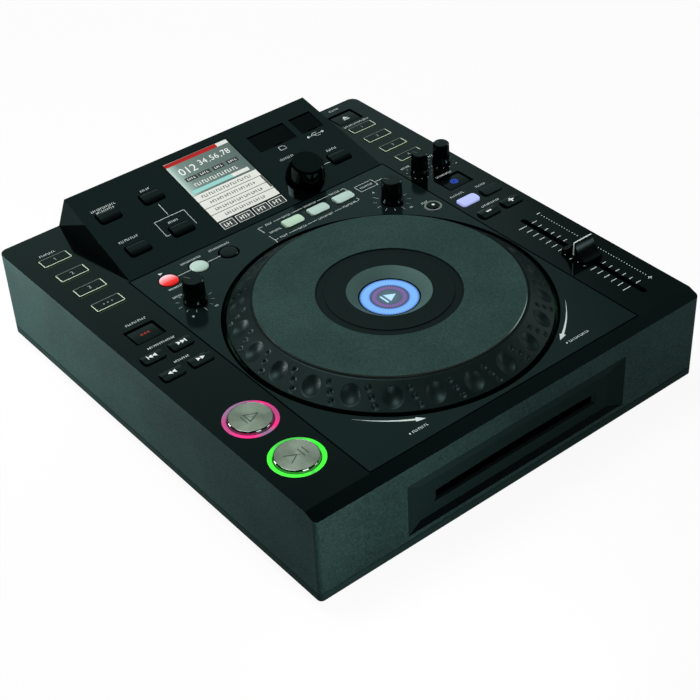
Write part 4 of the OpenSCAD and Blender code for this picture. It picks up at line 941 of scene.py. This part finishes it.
def screenGradient():  # grey green, paler towards the left edge
    material, shader, coords = startMaterial("screenPicture")
    half = screenSpan["half"] * mm
    across = axisOf(coords, "X")
    shade = rampOf(rangeOf(across, -half, half), (
        (0.0, (0.50, 0.62, 0.56)), (0.05, (0.30, 0.42, 0.38)), (0.16, (0.15, 0.21, 0.19)), (0.5, (0.11, 0.16, 0.145)),
        (1.0, (0.09, 0.13, 0.12))))
    lightUp(shader, shade, screenSpan["bright"], 0.3)
    return material


def screenColor(name, color):
    return glowing(name, color, screenSpan["bright"], 0.3, scaled(color, 0.75))


screenSkins = {
    "gradient": screenGradient(),
    "white": screenColor("screenWhite", (0.84, 0.86, 0.80)),
    "digit": screenColor("screenDigit", (0.97, 1.0, 0.97)),
    "red": screenColor("screenRed", (0.46, 0.006, 0.005)),
    "cyan": screenColor("screenCyan", (0.34, 0.72, 0.66)),
    "box": screenColor("screenBoxGrey", (0.035, 0.042, 0.038)),
    "dark": plastic("screenDark", (0.004, 0.008, 0.007), 0.25, 0.0, 1500.0, 0.1),
    "ink": plastic("screenInk", (0.02, 0.024, 0.024), 0.3, 0.0, 1500.0, 0.1),
}
screenLevel = {"base": -0.14, "step": 0.022}


def screenPart(name, skin, draw, layer):
    bm = bmesh.new()
    draw(bm, onPod(0, 0, screenLevel["base"] + screenLevel["step"] * layer))
    makePiece(name, bm, screenSkins[skin], "player")


def screenBoxes(*boxes):
    def draw(bm, place):
        for x0, s0, x1, s1 in boxes:
            addBar(bm, shifted(place, (x0 + x1) / 2, (s0 + s1) / 2), x1 - x0, s1 - s0, 0.0, 0.02)
    return draw


screenTags = ((-21.5, -12), (-11, -1), (1.2, 10.5), (13, 22.4))
screenRows = (43, 36, 28.5, 21.5, 14.2)
screenKeys = ((-26.0, -15.7), (-13.2, -1.2), (1.3, 12.7), (14.6, 26.0))


def screenDigits(bm, place):
    for x, s, words, size in ((-14, 66.4, "012", 9.6), (-0.6, 68.2, "34", 7.2), (9.2, 68.2, "56", 7.2),
                              (18.8, 68.2, "78", 7.2)):
        addText(bm, shifted(place, x, s), words, size, 0.0, 0.02)
    for x in (4.4, 14.2):
        addDot(bm, shifted(place, x, 66.0), 0.5, 0.0, 0.02, 10)
    addStrokes(bm, place, -1.0, 51.5, 36, 3.0, 1.5)
    for x0, x1 in screenKeys:
        addStrokes(bm, place, (x0 + x1) / 2, 9.3, (x1 - x0) * 0.68, 3.4, 1.6)


def screenWords(bm, place):
    for s, width in ((39.5, 42), (32.3, 38), (25.0, 40), (17.9, 34)):
        addStrokes(bm, place, -0.6, s, width, 2.4, 1.4)


def screenLabels(bm, place):
    for x0, x1 in screenTags:
        addStrokes(bm, place, (x0 + x1) / 2, 58.5, (x1 - x0) * 0.7, 1.8, 1.1)


def screenOutlines(bm, place):
    for x0, x1 in screenKeys:
        addPath(bm, place, [(x0, 6.0), (x1, 6.0), (x1, 12.6), (x0, 12.6), (x0, 6.0)], 0.4)


half = screenSpan["half"]
screenPart("screenBack", "gradient", screenBoxes((-half, 43, half, screenSpan["high"])), 0)
screenPart("screenLower", "dark", screenBoxes((-half, screenSpan["low"], half, 14.2)), 0)
screenPart("screenRedBar", "red", screenBoxes((-half, 75.2, 17.2, 78.6)), 1)
screenPart("screenCyanBar", "cyan", screenBoxes((-24, 44.5, 9.1, 47.9)), 1)
screenPart("screenRows", "white", screenBoxes(
    (17.2, 75.2, half, 78.6), (9.1, 44.5, 23, 47.9),
    *[(-half, low + 0.25, half, high - 0.25) for high, low in zip(screenRows, screenRows[1:])]), 1)
screenPart("screenScroll", "box", screenBoxes((24.9, 23, half - 0.2, 36)), 2)
screenPart("screenTags", "box", screenBoxes(*[(x0, 56.5, x1, 60.4) for x0, x1 in screenTags]), 1)
screenPart("screenKeys", "box", screenBoxes(*[(x0, 6.0, x1, 12.6) for x0, x1 in screenKeys]), 1)
screenPart("screenDigits", "digit", screenDigits, 2)
screenPart("screenLabels", "digit", screenLabels, 2)
screenPart("screenOutlines", "digit", screenOutlines, 2)
screenPart("screenInk", "ink", screenWords, 3)
print("screen picture")


dial = {"top": 8.0, "ringIn": 8.0, "ringOut": 11.0, "blueIn": 12.3, "blueOut": 18.6}


def dialMaterial(name, stops, glow, ticks, depth):  # colour by radius, a fine tick pattern round the ring
    material, shader, coords = startMaterial(name)
    away, local = radiusOf(coords, 0, wheelY)
    wave = mathOf("SINE", mathOf("MULTIPLY", angleOf(local), ticks))
    level = rangeOf(wave, -1, 1, depth, 1.0)
    tone = rampOf(rangeOf(away, 0, 0.02), [(radius / 20.0, color) for radius, color in stops])
    lightUp(shader, mixOf(level, (0, 0, 0), tone), glow, 0.3)
    return material


dialSkins = {
    "blue": dialMaterial("dialBlue", ((12.3, (0.10, 0.20, 0.60)), (13.5, (0.17, 0.40, 0.90)),
                                      (17.0, (0.17, 0.40, 0.90)), (18.6, (0.05, 0.12, 0.34))), 0.6, 60, 0.8),
    "magenta": dialMaterial("dialMagenta", ((8.0, (0.12, 0.10, 0.26)), (9.5, (0.20, 0.11, 0.30)),
                                            (11.0, (0.14, 0.10, 0.28))), 0.6, 36, 0.7),
    "middle": dialMaterial("dialMiddle", ((0.0, (0.09, 0.15, 0.17)), (8.0, (0.06, 0.10, 0.14)),
                                          (12.3, (0.05, 0.08, 0.13))), 0.5, 1, 1.0),
    "mark": glowing("dialMark", (0.42, 0.68, 0.92), 0.7, 0.3, (0.30, 0.48, 0.62)),
}
for name, skin, inner, outer, high in (("dialOuter", "blue", "blueIn", "blueOut", 0.05),
                                       ("dialInner", "magenta", "ringIn", "ringOut", 0.08)):
    bm = bmesh.new()
    addRing(bm, onDeck(0, wheelY, dial["top"]), dial[inner], dial[outer], 0.01, high, 96)
    makePiece(name, bm, dialSkins[skin], "player")
bm = bmesh.new()
place = onDeck(0, wheelY, dial["top"])
addDot(bm, place, dial["blueIn"], 0.01, 0.04, 96)
makePiece("dialMiddle", bm, dialSkins["middle"], "player")
bm = bmesh.new()
lifted = shifted(place, 0, 0, 0.05)
addPolygon(bm, lifted, [(5.0, 0), (-2.0, 4.0), (-2.0, -4.0)])
addBar(bm, shifted(lifted, -4.2, 0), 1.3, 8.0)
makePiece("dialMark", bm, dialSkins["mark"], "player")
print("jog display")


floorLook = {"size": 6.0, "share": 0.93, "glossyShare": 0.03, "bounce": (0.065, 0.09, 0.088),
             "seen": (0.86, 0.86, 0.86)}
bm = bmesh.new()
bmesh.ops.create_grid(bm, x_segments=1, y_segments=1, size=floorLook["size"])
floorMesh = bpy.data.meshes.new("floor")
bm.to_mesh(floorMesh)
bm.free()
floor = addObject("floor", floorMesh)


def floorMaterial():  # white to the eye, dark to bounced light, with the shadow kept
    material = bpy.data.materials.new("paleFloor")
    material.use_nodes = True
    tree = material.node_tree
    tree.nodes.clear()
    out = tree.nodes.new("ShaderNodeOutputMaterial")
    matt = tree.nodes.new("ShaderNodeBsdfDiffuse")
    white = tree.nodes.new("ShaderNodeEmission")
    white.inputs["Color"].default_value = (1, 1, 1, 1)
    white.inputs["Strength"].default_value = 1.0
    mix = tree.nodes.new("ShaderNodeMixShader")
    path = tree.nodes.new("ShaderNodeLightPath")
    seen = mathOf("ADD", path.outputs["Is Camera Ray"], path.outputs["Is Transmission Ray"])
    mirrored = mathOf("MULTIPLY", path.outputs["Is Glossy Ray"], floorLook["glossyShare"])
    share = mathOf("ADD", mathOf("MULTIPLY", seen, floorLook["share"]), mirrored)
    plugIn(matt.inputs["Color"], mixOf(seen, floorLook["bounce"], floorLook["seen"]))
    for socket, value in zip(mix.inputs, (share, matt.outputs["BSDF"], white.outputs["Emission"])):
        plugIn(socket, value)
    plugIn(out.inputs["Surface"], mix.outputs["Shader"])
    return material


floorMesh.materials.append(floorMaterial())

world = bpy.data.worlds.new("studio")
bpy.context.scene.world = world
world.use_nodes = True
tree = world.node_tree
tree.nodes.clear()
out = tree.nodes.new("ShaderNodeOutputWorld")
surround = tree.nodes.new("ShaderNodeBackground")
white = tree.nodes.new("ShaderNodeBackground")
white.inputs["Color"].default_value = (1, 1, 1, 1)
white.inputs["Strength"].default_value = 1.0
way = tree.nodes.new("ShaderNodeTexCoord").outputs["Generated"]
across, along, up = (axisOf(way, axis) for axis in "XYZ")


room = {  # what gloss sees of the walls: (up, level), and edges between them
    "left": ((0.0, 0.30), (0.50, 0.34), (0.55, 0.31), (0.59, 0.26), (0.63, 0.21), (0.66, 0.18), (0.69, 0.11),
             (0.76, 0.28), (0.86, 0.28), (0.92, 0.05), (1.0, 0.10)),
    "right": ((0.0, 0.09), (0.62, 0.09), (0.70, 0.32), (1.0, 0.32)), "sides": (0.575, 0.615),
    "behind": 0.02, "corner": (-0.1, 0.2),
    "patch": (0.962, -0.110, 0.250), "patchEdge": (0.95, 0.975), "patchTone": (1.3, 1.4, 1.38),
}


def surroundTone(level):
    return (0.75 * level, level, 0.97 * level)


def wallOf(side):
    return rampOf(up, [(z, surroundTone(level)) for z, level in room[side]])


window = tree.nodes.new("ShaderNodeVectorMath")  # a low bright patch on the right, for thin edge lights
window.operation = "DOT_PRODUCT"
plugIn(window.inputs[0], way)
plugIn(window.inputs[1], room["patch"])
patch = rangeOf(window.outputs["Value"], *room["patchEdge"])
farWall = mathOf("MINIMUM", rangeOf(across, *room["corner"]), rangeOf(along, *room["corner"]))
walls = mixOf(rangeOf(across, *room["sides"]), wallOf("left"), wallOf("right"))
shade = mixOf(patch, mixOf(farWall, surroundTone(room["behind"]), walls), room["patchTone"])
plugIn(surround.inputs["Color"], shade)
surround.inputs["Strength"].default_value = 1.0
mix = tree.nodes.new("ShaderNodeMixShader")
path = tree.nodes.new("ShaderNodeLightPath")
layers = (path.outputs["Is Camera Ray"], surround.outputs["Background"], white.outputs["Background"])
for socket, value in zip(mix.inputs, layers):
    plugIn(socket, value)
plugIn(out.inputs["Surface"], mix.outputs["Shader"])

lamps = [  # name, place, aim, size, watts, spread in degrees
    ("sideRear", (-0.44, 0.37, 0.10), (-0.15, 0.14, 0.05), 0.16, 1.25, 130),
    ("frontLeft", (-0.14, -0.31, 0.10), (-0.14, -0.17, 0.04), 0.08, 0.19, 180),
    ("frontRight", (0.45, -0.60, 0.12), (0.12, -0.17, 0.04), 0.2, 0.8, 180),
    ("softTop", (-0.3, 0.5, 1.9), (0, 0, 0.05), 0.9, 30, 180),
]
for name, place, aim, size, watts, spread in lamps:
    lamp = bpy.data.lights.new(name, "AREA")
    lamp.shape = "SQUARE"
    lamp.size = size
    lamp.energy = watts
    lamp.spread = math.radians(spread)
    holder = addObject(name, lamp)
    holder.visible_camera = False
    holder.location = place
    holder.rotation_euler = (Vector(aim) - Vector(place)).to_track_quat("-Z", "Y").to_euler()
print("floor and lights")

view = {"place": (-0.5045, -0.6730, 0.6598), "azimuth": 37.229, "elevation": 37.852, "roll": -3.0947, "lens": 82.04}
azimuth, elevation, roll = (math.radians(view[k]) for k in ("azimuth", "elevation", "roll"))
flat = math.cos(elevation)
ahead = Vector((math.sin(azimuth) * flat, math.cos(azimuth) * flat, -math.sin(elevation)))
level = Vector((math.cos(azimuth), -math.sin(azimuth), 0))
above = level.cross(ahead)
right = math.cos(roll) * level + math.sin(roll) * above
upward = -math.sin(roll) * level + math.cos(roll) * above
camera = bpy.data.cameras.new("camera")
camera.lens = view["lens"]
camera.sensor_width = 36.0
camera.clip_start = 0.01
cameraObject = addObject("camera", camera)
turn = Matrix((right, upward, -ahead)).transposed().to_4x4()
cameraObject.matrix_world = Matrix.Translation(view["place"]) @ turn
bpy.context.scene.camera = cameraObject
bpy.context.scene.view_settings.view_transform = "Standard"
